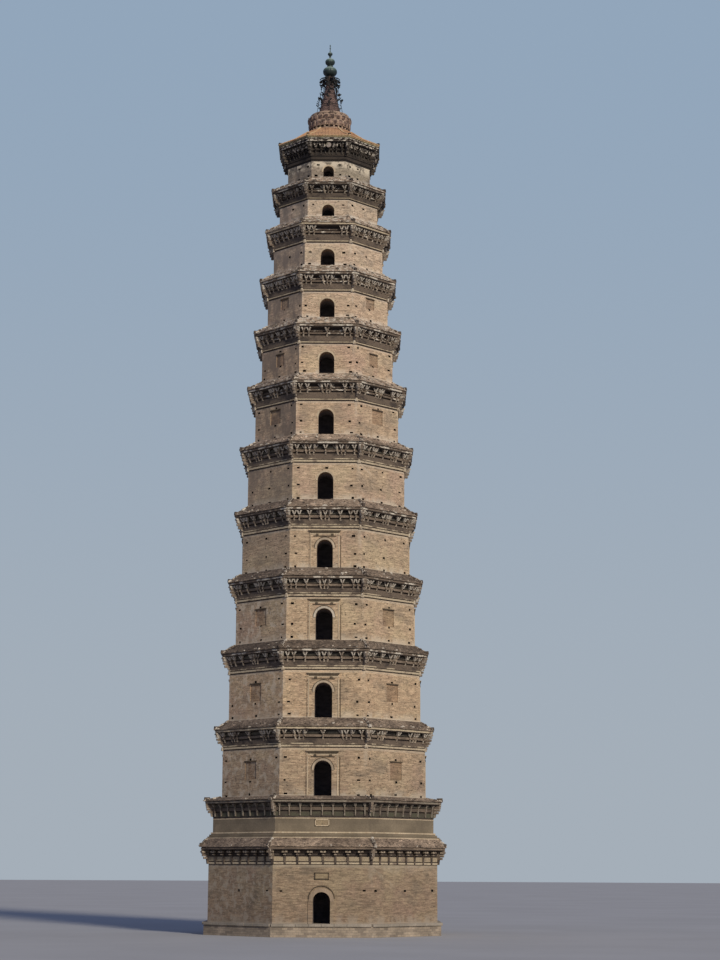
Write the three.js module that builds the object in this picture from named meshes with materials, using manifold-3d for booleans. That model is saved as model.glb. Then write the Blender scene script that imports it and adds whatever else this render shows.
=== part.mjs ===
// A thirteen-storey octagonal brick pagoda, as a scale model at 1:2 of a tower 64.1 m tall.
// Millimetres, +Z up. The entrance faces -Y, and the origin is the centre of the plinth's underside.
// The courses stand on each other from the ground up: plinth, then a wall ring and a cornice ring for
// each storey, the roof and the finial. Floors span between the rings and a masonry core.

import * as THREE from "three";
import { mergeVertices } from "three/addons/utils/BufferGeometryUtils.js";
import Module from "manifold-3d";

const wasm = await Module();
wasm.setup();

// Driving dimensions: metres of the real tower. One real metre is 500 mm of the model.
const metre = 500;
const seat = 0.0006;                 // running gap between cut or tapered neighbours
const sides = 8;
const halfSector = Math.PI / sides;

const plinth = { height: 0.85, across: 15.84, coping: 0.18, copingOut: 0.05 };

// across: width over the flats. foot and wallTop: levels of the wall's foot and of its head.
// arch: width and top of the arched openings, which start at the foot.
const storeys = [
  { across: 15.24, foot: 0.85, wallTop: 4.56, arch: { width: 1.12, top: 2.85 } },
  { across: 14.75, foot: 6.27, wallTop: 7.57 },
  { across: 13.65, foot: 9.00, wallTop: 12.10, arch: { width: 1.17, top: 11.28 } },
  { across: 12.94, foot: 14.10, wallTop: 17.23, arch: { width: 1.17, top: 16.41 } },
  { across: 12.18, foot: 19.28, wallTop: 22.14, arch: { width: 1.15, top: 21.40 } },
  { across: 11.46, foot: 24.20, wallTop: 26.84, arch: { width: 1.08, top: 26.10 } },
  { across: 10.87, foot: 28.94, wallTop: 31.44, arch: { width: 1.08, top: 30.82 } },
  { across: 9.99, foot: 33.55, wallTop: 35.86, arch: { width: 1.07, top: 35.32 } },
  { across: 9.20, foot: 37.95, wallTop: 40.03, arch: { width: 1.06, top: 39.48 } },
  { across: 8.50, foot: 42.07, wallTop: 43.88, arch: { width: 1.04, top: 43.42 } },
  { across: 7.76, foot: 45.95, wallTop: 47.57, arch: { width: 0.99, top: 47.14 } },
  { across: 7.00, foot: 49.68, wallTop: 50.88, arch: { width: 0.88, top: 50.53 } },
  { across: 5.89, foot: 52.80, wallTop: 53.95, arch: { width: 0.76, top: 53.60 } },
];
const topRoof = { foot: 55.60, top: 57.05, across: 7.3, topAcross: 3.1, lip: 0.05, edge: 0.1 };
const topRoofBreak = { across: 5.0, rise: 0.72 };    // where the roof turns steeper

const wallShare = 0.19;              // wall thickness over the width across the flats
const floorThickness = 0.3;
const floorBearing = 0.25;
const core = { footAcross: 6.3, topAcross: 1.75 };

// The eave's underside lies this far below the next wall's foot, more so from storey to storey.
const roofRise = { first: 0.75, second: 0.47, base: 0.8, perStorey: 0.013, last: 0.35 };
const eave = { overhang: 0.6, thickness: 0.25, lowerCourse: 0.16, courseBack: 0.08 };
const stringCourse = { height: 0.16, out: 0.07 };
const frieze = { out: 0.03, share: 0.52 };
const tieBeams = { out: 0.15, share: 0.56 };
const bracket = { width: 0.3, root: 0.1, reach: 0.46, footShare: 0.5, headShare: 0.7 };
const cornerBracket = { width: 0.26, reach: 0.55, footShare: 0.3, headShare: 0.93 };
const hook = { width: 0.1, reach: 0.16, back: 0.25, rise: 0.26 };
const roofHook = { width: 0.12, reach: 0.1, back: 0.3, rise: 0.36 };
const bedding = 0.02;                // depth to which added brickwork sinks into the ring behind it
const slopeRim = 0.02;               // flat strip at the top of a slope, in front of the next wall

const panelDepth = 0.05;
const panels = {                     // blind panels in the diagonal faces, by storey: head is a level
  3: { width: 1.08, height: 1.16, head: 11.27 },
  4: { width: 1.08, height: 1.15, head: 16.45 },
  5: { width: 1.06, height: 1.12, head: 21.53 },
  8: { width: 1.02, height: 1.0, head: 35.54 },
  9: { width: 0.8, height: 0.88, head: 39.62 },
  10: { width: 0.8, height: 0.76, head: 43.72 },
};
const surround = { out: 0.06, side: 0.5, above: 0.6, lastStorey: 6 };
const doorMoulding = { out: 0.06, side: 0.3 };
const plaque = { width: 0.94, height: 0.45, thickness: 0.07 };
const plaqueFoot = { first: 3.63, second: 7.03 };
const archSegments = 8;
const baseSteps = { count: 3, out: 0.12, rise: 0.13 };   // stepped courses at the second wall's foot
const cutBeyond = 1;                 // how far a cutter starts outside the face that it cuts

// The finial, from the roof up: radii and levels. Profiles are [radius, share of the height] pairs, and a
// crown leaf is drawn from the side, in [radius, rise over the crown's foot] pairs.
const lotus = {
  top: 58.41,
  profile: [[1.42, 0], [1.5, 0.22], [1.44, 0.3], [1.46, 0.5], [1.63, 0.82], [1.5, 0.88], [1.4, 0.91], [1.4, 1]],
};
const cone = {
  foot: 0.84,
  shoulder: 0.45,
  shoulderRise: 1.6,
  top: 0.24,
  level: 61.1,
  neck: 0.2,
  neckTop: 61.58,
};
const cage = { bars: 8, spokes: 4, bar: 0.035, foot: 1.0, top: 0.55, level: 60.9, hoopStep: 0.8 };
const crown = {
  inner: 0.5,
  outer: 0.6,
  ring: 0.1,
  leaves: 8,
  leafWidth: 0.14,
  leafSide: [
    [0.52, 0], [0.6, 0], [0.79, 0.1], [0.75, 0.19], [0.62, 0.18], [0.76, 0.32], [0.71, 0.41],
    [0.5, 0.49], [0.33, 0.62], [0.27, 0.57], [0.4, 0.38], [0.52, 0.24],
  ],
};
const gourd = {
  lower: { foot: 61.58, top: 62.34, radius: 0.51, neck: 0.2 },
  collar: { top: 62.44, radius: 0.22, neck: 0.2 },
  upper: { foot: 62.44, top: 63.0, radius: 0.35, footRadius: 0.18, topRadius: 0.08 },
  bead: { middle: 63.36, radius: 0.16, stem: 0.05, stemTop: 63.22, height: 0.08 },
  tip: { stemFoot: 63.52, radius: 0.04, end: 64.1, endRadius: 0.025 },
};
const facets = { seat: 24, spire: 16, gourd: 20, hoop: 12, crownRing: 16, bulbRows: 8 };

const brickColour = new THREE.Color(0xb59f80);
const corniceColour = new THREE.Color(0x6f6253);
const floorColour = new THREE.Color(0x857866);
const plinthColour = new THREE.Color(0x9b8f7d);
const plaqueColour = new THREE.Color(0xc4b184);
const roofTileColour = new THREE.Color(0xc08a5c);
const spireBrickColour = new THREE.Color(0x6a5048);
const ironColour = new THREE.Color(0x2c2a28);
const copperColour = new THREE.Color(0x4a6b5c);

function material(color, roughness, metalness = 0) {
  return new THREE.MeshStandardMaterial({ color, roughness, metalness });
}

// Solids: a three.js geometry becomes a manifold for cutting and joining, and comes back as one.
function signedVolume(positions, index) {
  const corners = [new THREE.Vector3(), new THREE.Vector3(), new THREE.Vector3()];
  let sum = 0;
  for (let i = 0; i < index.length; i += 3) {
    corners.forEach((corner, k) => corner.fromArray(positions, 3 * index[i + k]));
    sum += corners[0].dot(corners[1].cross(corners[2]));
  }
  return sum / 6;
}

function solid(geometry) {
  const plain = geometry.clone();
  plain.deleteAttribute("normal");
  plain.deleteAttribute("uv");
  const merged = mergeVertices(plain, 0.002);
  const positions = Float32Array.from(merged.attributes.position.array);
  const kept = [];
  const index = merged.index.array;
  for (let i = 0; i < index.length; i += 3) {
    const [a, b, c] = [index[i], index[i + 1], index[i + 2]];
    if (a !== b && b !== c && c !== a) kept.push(a, b, c);
  }
  if (signedVolume(positions, kept) < 0) {
    for (let i = 0; i < kept.length; i += 3) [kept[i], kept[i + 1]] = [kept[i + 1], kept[i]];
  }
  const triVerts = Uint32Array.from(kept);
  return new wasm.Manifold(new wasm.Mesh({ numProp: 3, vertProperties: positions, triVerts }));
}

function toGeometry(manifold) {
  const mesh = manifold.getMesh();
  const geometry = new THREE.BufferGeometry();
  geometry.setAttribute("position", new THREE.BufferAttribute(Float32Array.from(mesh.vertProperties), 3));
  geometry.setIndex(new THREE.BufferAttribute(Uint32Array.from(mesh.triVerts), 1));
  return geometry;
}

// An octagonal ring or mass from a closed profile of [half width over the flats, level] points.
function octagon(profile) {
  const toCorner = metre / Math.cos(halfSector);
  const points = profile.map(([half, level]) => new THREE.Vector2(half * toCorner, level * metre));
  if (profile[0][0] > 0) points.push(points[0].clone());
  const geometry = new THREE.LatheGeometry(points, sides, halfSector);
  geometry.rotateX(Math.PI / 2);
  return solid(geometry);
}

// A round piece from a profile of [radius, level] points that starts and ends on the axis.
function turned(profile, segments) {
  const points = profile.map(([radius, level]) => new THREE.Vector2(radius * metre, level * metre));
  const geometry = new THREE.LatheGeometry(points, segments);
  geometry.rotateX(Math.PI / 2);
  return solid(geometry);
}

// A box between two corners, in real metres, turned about the tower's axis.
function block(low, high, turn = 0) {
  const size = high.map((value, i) => (value - low[i]) * metre);
  const geometry = new THREE.BoxGeometry(...size);
  geometry.translate(...high.map((value, i) => ((value + low[i]) / 2) * metre));
  geometry.rotateZ(turn);
  return solid(geometry);
}

// An arched prism across the front face: its outline stands in X and Z, and it runs along Y.
function archPrism(width, foot, top, near, far, turn = 0) {
  const radius = (width / 2) * metre;
  const spring = top * metre - radius;
  const outline = new THREE.Shape();
  outline.moveTo(-radius, foot * metre);
  outline.lineTo(radius, foot * metre);
  outline.lineTo(radius, spring);
  for (let i = 1; i <= archSegments; i += 1) {
    const angle = (Math.PI * i) / archSegments;
    outline.lineTo(radius * Math.cos(angle), spring + radius * Math.sin(angle));
  }
  const depth = (far - near) * metre;
  const geometry = new THREE.ExtrudeGeometry(outline, { depth, bevelEnabled: false });
  geometry.rotateX(Math.PI / 2);
  geometry.translate(0, far * metre, 0);
  geometry.rotateZ(turn);
  return solid(geometry);
}

// A piece seen from the side: its outline of [outward, level] points, extruded to a width, set at a
// distance in front of the tower's axis and turned about it.
function sidePrism(outline, width, distance, turn) {
  const shape = new THREE.Shape(outline.map(([out, level]) => new THREE.Vector2(out * metre, level * metre)));
  const depth = width * metre;
  const geometry = new THREE.ExtrudeGeometry(shape, { depth, bevelEnabled: false });
  geometry.translate(distance * metre, 0, -depth / 2);
  geometry.rotateX(Math.PI / 2);
  geometry.rotateZ(turn - Math.PI / 2);
  return solid(geometry);
}

const group = new THREE.Group();

function addPiece(name, manifold, look) {
  const mesh = new THREE.Mesh(toGeometry(manifold), look);
  mesh.name = name;
  group.add(mesh);
}

function numbered(number) {
  return String(number).padStart(2, "0");
}

const quarterTurns = [0, 1, 2, 3].map((i) => (i * Math.PI) / 2);
const innerHalf = (storey) => storey.across / 2 - storey.across * wallShare;
const nextFoot = (number) => (number < storeys.length ? storeys[number].foot : topRoof.foot);
const nextHalf = (number) => {
  if (number === storeys.length) return topRoof.across / 2 - eave.courseBack;
  const steps = number === 1 ? baseSteps.count * baseSteps.out : 0;
  return storeys[number].across / 2 + steps;
};

// Level of the underside of a storey's eave.
function soffitLevel(number) {
  const { first, second, base, perStorey, last } = roofRise;
  const regular = base + perStorey * (number - 1);
  const rise = { 1: first, 2: second, [storeys.length]: last }[number] ?? regular;
  return nextFoot(number) - rise;
}

// Plinth: a low octagonal base with a stone coping. Its top is the ground floor.
function makePlinth() {
  const half = plinth.across / 2;
  const copingFoot = plinth.height - plinth.coping;
  addPiece("plinth", octagon([
    [0, 0],
    [half, 0],
    [half, copingFoot],
    [half + plinth.copingOut, copingFoot],
    [half + plinth.copingOut, plinth.height],
    [0, plinth.height],
  ]), material(plinthColour, 0.95));
}

// Walls: octagonal brick rings, with arched openings in the four main faces from the third storey up,
// a doorway in the front of the first, and shallow blind panels in the diagonal faces.
function makeWall(storey, number) {
  const outer = storey.across / 2;
  const inner = innerHalf(storey);
  const { foot, wallTop, arch } = storey;
  const outline = [[inner, foot]];
  const steps = number === 2 ? baseSteps.count : 0;
  for (let step = steps; step > 0; step -= 1) {
    const out = outer + step * baseSteps.out;
    outline.push([out, foot + (steps - step) * baseSteps.rise]);
    outline.push([out, foot + (steps - step + 1) * baseSteps.rise]);
  }
  outline.push([outer, foot + steps * baseSteps.rise], [outer, wallTop], [inner, wallTop]);
  let wall = octagon(outline);
  if (number === 1) {
    const wide = arch.width + 2 * doorMoulding.side;
    const top = arch.top + doorMoulding.side;
    wall = wall.add(archPrism(wide, foot, top, -outer - doorMoulding.out, -outer + bedding));
    wall = wall.subtract(archPrism(arch.width, foot - bedding, arch.top, -outer - cutBeyond, 0));
  }
  if (number > 2) {
    for (const turn of quarterTurns) {
      if (number <= surround.lastStorey) {
        const halfFrame = arch.width / 2 + surround.side;
        const frameTop = arch.top + surround.above;
        wall = wall.add(block(
          [-halfFrame, -outer - surround.out, foot],
          [halfFrame, -outer + bedding, frameTop],
          turn,
        ));
      }
      wall = wall.subtract(archPrism(arch.width, foot - bedding, arch.top, -outer - cutBeyond, 0, turn));
    }
  }
  if (number in panels) {
    const { width, height, head } = panels[number];
    for (const turn of quarterTurns) {
      wall = wall.subtract(block(
        [-width / 2, -outer - cutBeyond, head - height],
        [width / 2, -outer + panelDepth, head],
        turn + 2 * halfSector,
      ));
    }
  }
  addPiece(`wall_${numbered(number)}`, wall, material(brickColour, 0.92));
}

// An upturned hook over the corner of an eave.
function cornerHook(size, foot, cornerOut, turn) {
  const outline = [
    [-size.back, foot - bedding],
    [size.reach, foot - bedding],
    [size.reach, foot + size.rise],
  ];
  return sidePrism(outline, size.width, cornerOut, turn);
}

// Cornices: a string course, a frieze, corbelled brackets, two eave courses and a short tile slope.
// The ring runs through to the inside of the wall, and its inner edge carries the floor above.
function makeCornice(storey, number) {
  const outer = storey.across / 2;
  const inner = innerHalf(storey);
  const { wallTop } = storey;
  const soffit = soffitLevel(number);
  const rise = soffit - wallTop;
  const top = nextFoot(number);
  const isTop = number === storeys.length;
  const edge = isTop ? topRoof.across / 2 - topRoof.lip : outer + eave.overhang;
  const thickness = isTop ? top - soffit : eave.thickness;
  const outline = [
    [inner, wallTop],
    [outer + stringCourse.out, wallTop],
    [outer + stringCourse.out, wallTop + stringCourse.height],
    [outer + frieze.out, wallTop + stringCourse.height],
    [outer + frieze.out, wallTop + frieze.share * rise],
    [outer + tieBeams.out, wallTop + tieBeams.share * rise],
    [outer + tieBeams.out, soffit],
    [edge - eave.courseBack, soffit],
    [edge - eave.courseBack, soffit + eave.lowerCourse],
    [edge, soffit + eave.lowerCourse],
    [edge, soffit + thickness],
  ];
  if (isTop) {
    outline.push([inner, top]);
  } else {
    const bearing = inner + floorBearing;
    outline.push([nextHalf(number) + slopeRim, top]);
    outline.push([bearing, top], [bearing, top - floorThickness], [inner, top - floorThickness]);
  }
  let cornice = octagon(outline);

  const bracketFoot = wallTop + bracket.footShare * rise;
  const bracketSide = [
    [-bracket.root, bracketFoot],
    [bracket.root, bracketFoot],
    [bracket.reach, wallTop + bracket.headShare * rise],
    [bracket.reach, soffit + bedding],
    [-bracket.root, soffit + bedding],
  ];
  const cornerFoot = wallTop + cornerBracket.footShare * rise;
  const cornerSide = [
    [-bracket.root, cornerFoot],
    [bracket.root, cornerFoot],
    [cornerBracket.reach, wallTop + cornerBracket.headShare * rise],
    [cornerBracket.reach, soffit + bedding],
    [-bracket.root, soffit + bedding],
  ];
  const cornerOut = outer / Math.cos(halfSector);
  const edgeOut = edge / Math.cos(halfSector);
  for (let side = 0; side < sides; side += 1) {
    const turn = side * 2 * halfSector;
    const cornerTurn = turn + halfSector;
    cornice = cornice.add(sidePrism(bracketSide, bracket.width, outer, turn));
    cornice = cornice.add(sidePrism(cornerSide, cornerBracket.width, cornerOut, cornerTurn));
    if (!isTop) cornice = cornice.add(cornerHook(hook, soffit + thickness, edgeOut, cornerTurn));
  }
  addPiece(`cornice_${numbered(number)}`, cornice, material(corniceColour, 0.95));
}

// Floors: one slab at each window row, with its edge in the cornice below and a hole for the core.
function coreHalf(level) {
  const start = plinth.height;
  const share = (level - start) / (topRoof.foot - start);
  return (core.footAcross + (core.topAcross - core.footAcross) * share) / 2;
}

function makeFloor(number) {
  const below = storeys[number - 2];
  const top = storeys[number - 1].foot;
  const foot = top - floorThickness;
  const outer = innerHalf(below) + floorBearing - seat;
  const hole = coreHalf(foot) + seat;
  addPiece(
    `floor_${numbered(number)}`,
    octagon([[hole, foot], [outer, foot], [outer, top], [hole, top]]),
    material(floorColour, 0.95),
  );
}

// Core: the tapered masonry shaft in the middle, from the ground floor to the roof.
function makeCore() {
  addPiece("core", octagon([
    [0, plinth.height],
    [coreHalf(plinth.height), plinth.height],
    [coreHalf(topRoof.foot), topRoof.foot],
    [0, topRoof.foot],
  ]), material(brickColour, 0.95));
}

// Plaques: bare tablets on the front of the first two storeys.
function makePlaque(name, storey, foot) {
  const face = storey.across / 2 + seat;
  addPiece(name, block(
    [-plaque.width / 2, -face - plaque.thickness, foot],
    [plaque.width / 2, -face, foot + plaque.height],
  ), material(plaqueColour, 0.8));
}

// Roof over the top storey, tiled, in two pitches, with a hook at each corner.
function makeRoof() {
  const { foot, top, across, topAcross, edge } = topRoof;
  let roof = octagon([
    [0, foot],
    [across / 2, foot],
    [across / 2, foot + edge],
    [topRoofBreak.across / 2, foot + topRoofBreak.rise],
    [topAcross / 2, top],
    [0, top],
  ]);
  const cornerOut = across / 2 / Math.cos(halfSector);
  for (let side = 0; side < sides; side += 1) {
    roof = roof.add(cornerHook(roofHook, foot + edge, cornerOut, (2 * side + 1) * halfSector));
  }
  addPiece("top_roof", roof, material(roofTileColour, 0.6));
}

// Finial: a brick lotus seat, and a brick cone in an iron cage with a crown of leaves.
function makeLotusSeat() {
  const foot = topRoof.top;
  const height = lotus.top - foot;
  const side = lotus.profile.map(([radius, share]) => [radius, foot + share * height]);
  addPiece(
    "lotus_seat",
    turned([[0, foot], ...side, [0, lotus.top]], facets.seat),
    material(spireBrickColour, 0.95),
  );
}

function makeCone() {
  addPiece("spire_cone", turned([
    [0, lotus.top],
    [cone.foot, lotus.top],
    [cone.shoulder, lotus.top + cone.shoulderRise],
    [cone.top, cone.level],
    [cone.neck, cone.neckTop],
    [0, cone.neckTop],
  ], facets.spire), material(spireBrickColour, 0.95));
}

function makeCage() {
  const foot = lotus.top + seat;
  const half = cage.bar / 2;
  const radiusAt = (level) => cage.foot + (cage.top - cage.foot) * ((level - foot) / (cage.level - foot));
  const hoopLevels = [foot + cage.bar, foot + cage.hoopStep, foot + 2 * cage.hoopStep, cage.level - cage.bar];
  const hoops = hoopLevels.map((level) => {
    const radius = radiusAt(level);
    return turnedRing(radius - cage.bar, radius + cage.bar, level - cage.bar, level + cage.bar, facets.hoop);
  });
  let frame = hoops[0];
  for (const hoop of hoops.slice(1)) frame = frame.add(hoop);
  for (let i = 0; i < cage.bars; i += 1) {
    const turn = ((i + 0.5) * 2 * Math.PI) / cage.bars;
    frame = frame.add(slantedBar(cage.foot, foot, cage.top, cage.level, cage.bar, turn));
  }
  const spokeLevel = hoopLevels.at(-1);
  const spokeStart = cone.top + 2 * cage.bar;
  for (let i = 0; i < cage.spokes; i += 1) {
    frame = frame.add(block(
      [spokeStart, -half, spokeLevel - half],
      [radiusAt(spokeLevel), half, spokeLevel + half],
      (i * 2 * Math.PI) / cage.spokes,
    ));
  }
  addPiece("spire_cage", frame, material(ironColour, 0.7, 0.6));
}

function makeCrown() {
  const foot = cage.level + seat;
  let ring = turnedRing(crown.inner, crown.outer, foot, foot + crown.ring, facets.crownRing);
  for (let i = 0; i < crown.leaves; i += 1) {
    ring = ring.add(leaf(foot + bedding, ((i + 0.5) * 2 * Math.PI) / crown.leaves));
  }
  addPiece("leaf_crown", ring, material(ironColour, 0.7, 0.6));
}

// Gourd: two copper bulbs with a collar between them, a bead and a needle.
function makeGourd() {
  const { lower, collar, upper, bead, tip } = gourd;
  const copper = material(copperColour, 0.6, 0.5);
  addPiece("gourd_lower", turned([
    [0, lower.foot],
    ...bulb(lower.foot, lower.top, lower.neck, lower.radius, lower.neck),
    [collar.radius, (lower.top + collar.top) / 2],
    [collar.neck, collar.top],
    [0, collar.top],
  ], facets.gourd), copper);
  addPiece("gourd_upper", turned([
    [0, upper.foot],
    ...bulb(upper.foot, upper.top, upper.footRadius, upper.radius, upper.topRadius),
    [bead.stem, bead.stemTop],
    [bead.radius, bead.middle - bead.height / 2],
    [bead.radius, bead.middle + bead.height / 2],
    [tip.radius, tip.stemFoot],
    [tip.endRadius, tip.end],
    [0, tip.end],
  ], facets.gourd), copper);
}

function turnedRing(inner, outer, low, high, segments) {
  const corners = [[inner, low], [outer, low], [outer, high], [inner, high], [inner, low]];
  const points = corners.map(([radius, level]) => new THREE.Vector2(radius * metre, level * metre));
  const geometry = new THREE.LatheGeometry(points, segments);
  geometry.rotateX(Math.PI / 2);
  return solid(geometry);
}

function slantedBar(footRadius, foot, topRadius, top, size, turn) {
  const outline = new THREE.Shape();
  const half = size / 2;
  outline.moveTo((footRadius - half) * metre, foot * metre);
  outline.lineTo((footRadius + half) * metre, foot * metre);
  outline.lineTo((topRadius + half) * metre, top * metre);
  outline.lineTo((topRadius - half) * metre, top * metre);
  const depth = size * metre;
  const geometry = new THREE.ExtrudeGeometry(outline, { depth, bevelEnabled: false });
  geometry.translate(0, 0, -depth / 2);
  geometry.rotateX(Math.PI / 2);
  geometry.rotateZ(turn);
  return solid(geometry);
}

function leaf(foot, turn) {
  const outline = crown.leafSide.map(([radius, rise]) => [radius, foot + rise]);
  return sidePrism(outline, crown.leafWidth, 0, turn);
}

function bulb(foot, top, footRadius, radius, topRadius) {
  const middle = (foot + top) / 2;
  const half = (top - foot) / 2;
  const points = [];
  for (let i = 0; i <= facets.bulbRows; i += 1) {
    const level = foot + ((top - foot) * i) / facets.bulbRows;
    const share = (level - middle) / half;
    const round = radius * Math.sqrt(Math.max(0, 1 - share * share));
    const least = share < 0 ? footRadius : topRadius;
    points.push([Math.max(least, round), level]);
  }
  return points;
}

makePlinth();
makeCore();
storeys.forEach((storey, i) => {
  makeWall(storey, i + 1);
  makeCornice(storey, i + 1);
});
storeys.forEach((storey, i) => {
  if (i >= 2) makeFloor(i + 1);
});
makePlaque("door_plaque", storeys[0], plaqueFoot.first);
makePlaque("upper_plaque", storeys[1], plaqueFoot.second);
makeRoof();
makeLotusSeat();
makeCone();
makeCage();
makeCrown();
makeGourd();

export default group;
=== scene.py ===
# The finish and the fine brickwork of a thirteen-storey octagonal pagoda, on its packed half-size model.
# Metres, +Z up. The entrance faces -Y, and the tower's axis is the Z axis.

import math
import random

import bmesh
import bpy
import numpy as np
from mathutils import Matrix, Vector


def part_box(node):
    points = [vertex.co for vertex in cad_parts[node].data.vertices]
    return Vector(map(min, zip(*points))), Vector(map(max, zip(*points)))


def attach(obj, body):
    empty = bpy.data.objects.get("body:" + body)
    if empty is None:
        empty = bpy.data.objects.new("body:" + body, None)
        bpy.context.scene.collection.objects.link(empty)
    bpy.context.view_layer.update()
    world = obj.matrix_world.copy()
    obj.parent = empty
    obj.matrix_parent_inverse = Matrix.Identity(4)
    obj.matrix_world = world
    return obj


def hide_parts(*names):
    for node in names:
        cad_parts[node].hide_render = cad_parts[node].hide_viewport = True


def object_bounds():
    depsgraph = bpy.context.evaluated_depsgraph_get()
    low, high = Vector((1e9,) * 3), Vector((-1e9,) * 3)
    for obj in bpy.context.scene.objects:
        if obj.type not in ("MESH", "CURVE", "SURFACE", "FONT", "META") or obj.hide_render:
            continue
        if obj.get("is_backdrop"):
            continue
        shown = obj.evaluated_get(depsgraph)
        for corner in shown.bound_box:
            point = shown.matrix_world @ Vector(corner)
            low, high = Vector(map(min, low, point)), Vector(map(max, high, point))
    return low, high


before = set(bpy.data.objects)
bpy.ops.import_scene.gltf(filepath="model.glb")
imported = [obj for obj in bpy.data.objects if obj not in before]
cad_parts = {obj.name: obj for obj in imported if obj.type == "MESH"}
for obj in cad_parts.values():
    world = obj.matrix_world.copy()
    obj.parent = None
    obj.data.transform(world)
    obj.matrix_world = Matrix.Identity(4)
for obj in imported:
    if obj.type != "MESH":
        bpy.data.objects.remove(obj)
packed_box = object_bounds()
bpy.ops.object.select_all(action="DESELECT")
bpy.context.scene.view_settings.view_transform = "Standard"

# Plinth: the low octagonal base that carries the tower, old brick and rubble under worn render, with a
# coping of cut stone blocks laid dry round its top edge.
real = 0.5                                # one metre of the real tower, in this half-size model
half_sector = math.pi / 8
plinth_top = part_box("plinth")[1].z
plinth_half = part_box("wall_01")[1].x + 0.3 * real
coping_height = 0.18 * real
coping_out = 0.05 * real
coping_block = 0.85 * real                # about as long as one coping stone
coping_depth = 0.45 * real
coping_joint = 0.012 * real
corner_shrink = 0.93                      # the stones at the corners are a little shorter
corner_shift = 0.985
render_pale = (0.40, 0.31, 0.22, 1)
render_dark = (0.20, 0.155, 0.115, 1)
rubble_joint = (0.27, 0.22, 0.165, 1)
stone_light = (0.36, 0.30, 0.23, 1)
stone_dark = (0.17, 0.14, 0.11, 1)


def lay(tree, kind, inputs=None, **settings):
    """One shader node, with its settings and with inputs that are values or other nodes' sockets."""
    node = tree.nodes.new(kind)
    for key, value in settings.items():
        setattr(node, key, value)
    for key, value in (inputs or {}).items():
        if isinstance(value, bpy.types.NodeSocket):
            tree.links.new(value, node.inputs[key])
        else:
            node.inputs[key].default_value = value
    return node


def blended(tree, share, first, second, how="MIX"):
    """The colour between two, or their product."""
    node = tree.nodes.new("ShaderNodeMix")
    node.data_type = "RGBA"
    node.blend_type = how
    for socket, value in zip((node.inputs[0], node.inputs[6], node.inputs[7]), (share, first, second)):
        if isinstance(value, bpy.types.NodeSocket):
            tree.links.new(value, socket)
        else:
            socket.default_value = value
    return node.outputs[2]


def graded(tree, value, low, high, dark=0.0, light=1.0):
    """A value that runs from dark to light while another runs from low to high, and stays there."""
    inputs = {"Value": value, "From Min": low, "From Max": high, "To Min": dark, "To Max": light}
    return lay(tree, "ShaderNodeMapRange", inputs, interpolation_type="SMOOTHSTEP").outputs[0]


def mottle(tree, place, scale, stretch=(1, 1, 1), detail=4.0, rough=0.6):
    """Cloudy variation over a surface, stretched along an axis where its scale is small."""
    spread = lay(tree, "ShaderNodeMapping", {"Vector": place, "Scale": stretch}).outputs[0]
    inputs = {"Vector": spread, "Scale": scale, "Detail": detail, "Roughness": rough}
    return lay(tree, "ShaderNodeTexNoise", inputs).outputs["Fac"]


def upward(tree, place):
    """The third part of a place, a direction or a map: how far up it is."""
    return lay(tree, "ShaderNodeSeparateXYZ", {0: place}).outputs["Z"]


def product(tree, *values):
    """Several numbers multiplied."""
    total = values[0]
    for value in values[1:]:
        total = lay(tree, "ShaderNodeMath", {0: total, 1: value}, operation="MULTIPLY").outputs[0]
    return total


def toned(tree, colour, tone):
    """A colour made darker or lighter by a number or by another colour."""
    return blended(tree, 1.0, colour, tone, "MULTIPLY")


def bare_finish(name, roughness):
    """A new material, with its nodes, its shader and the place on the object."""
    material = bpy.data.materials.new(name)
    material.use_nodes = True
    tree = material.node_tree
    shader = tree.nodes["Principled BSDF"]
    shader.inputs["Roughness"].default_value = roughness
    return material, tree, shader, lay(tree, "ShaderNodeTexCoord").outputs["Object"]


def weather(tree, shader, colour, height, strength, distance):
    """The colour and the rough relief of a finish."""
    tree.links.new(colour, shader.inputs["Base Color"])
    bump = lay(tree, "ShaderNodeBump", {"Height": height, "Strength": strength, "Distance": distance})
    tree.links.new(bump.outputs[0], shader.inputs["Normal"])


def brick_bond(tree, light, dark, joint, brick, soft_edge, balance):
    """Staggered courses by the piece's own map: their colour, and how far each point is in a joint."""
    length, height, gap = brick
    bond = lay(tree, "ShaderNodeTexBrick", {
        "Vector": lay(tree, "ShaderNodeUVMap", uv_map="courses").outputs[0], "Scale": 1.0,
        "Color1": light, "Color2": dark, "Mortar": joint, "Mortar Size": gap, "Mortar Smooth": soft_edge,
        "Bias": balance, "Brick Width": length, "Row Height": height,
    }, offset=0.5)
    return bond.outputs["Color"], bond.outputs["Fac"]


def coursed_finish(name, light, dark, joint, brick, stain=(0.72, 1.12), relief=0.5):
    """Weathered brickwork or stonework."""
    material, tree, shader, place = bare_finish(name, 0.93)
    colour, in_joint = brick_bond(tree, light, dark, joint, brick, 0.3, -0.2)
    blotch = graded(tree, mottle(tree, place, 1.3), 0.3, 0.7, *stain)
    grain = graded(tree, mottle(tree, place, 22.0), 0.25, 0.75, 0.86, 1.1)
    depth = lay(tree, "ShaderNodeMath", {0: grain, 1: in_joint}, operation="SUBTRACT").outputs[0]
    weather(tree, shader, toned(tree, colour, product(tree, blotch, grain)), depth, relief, 0.01)
    return material


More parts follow.
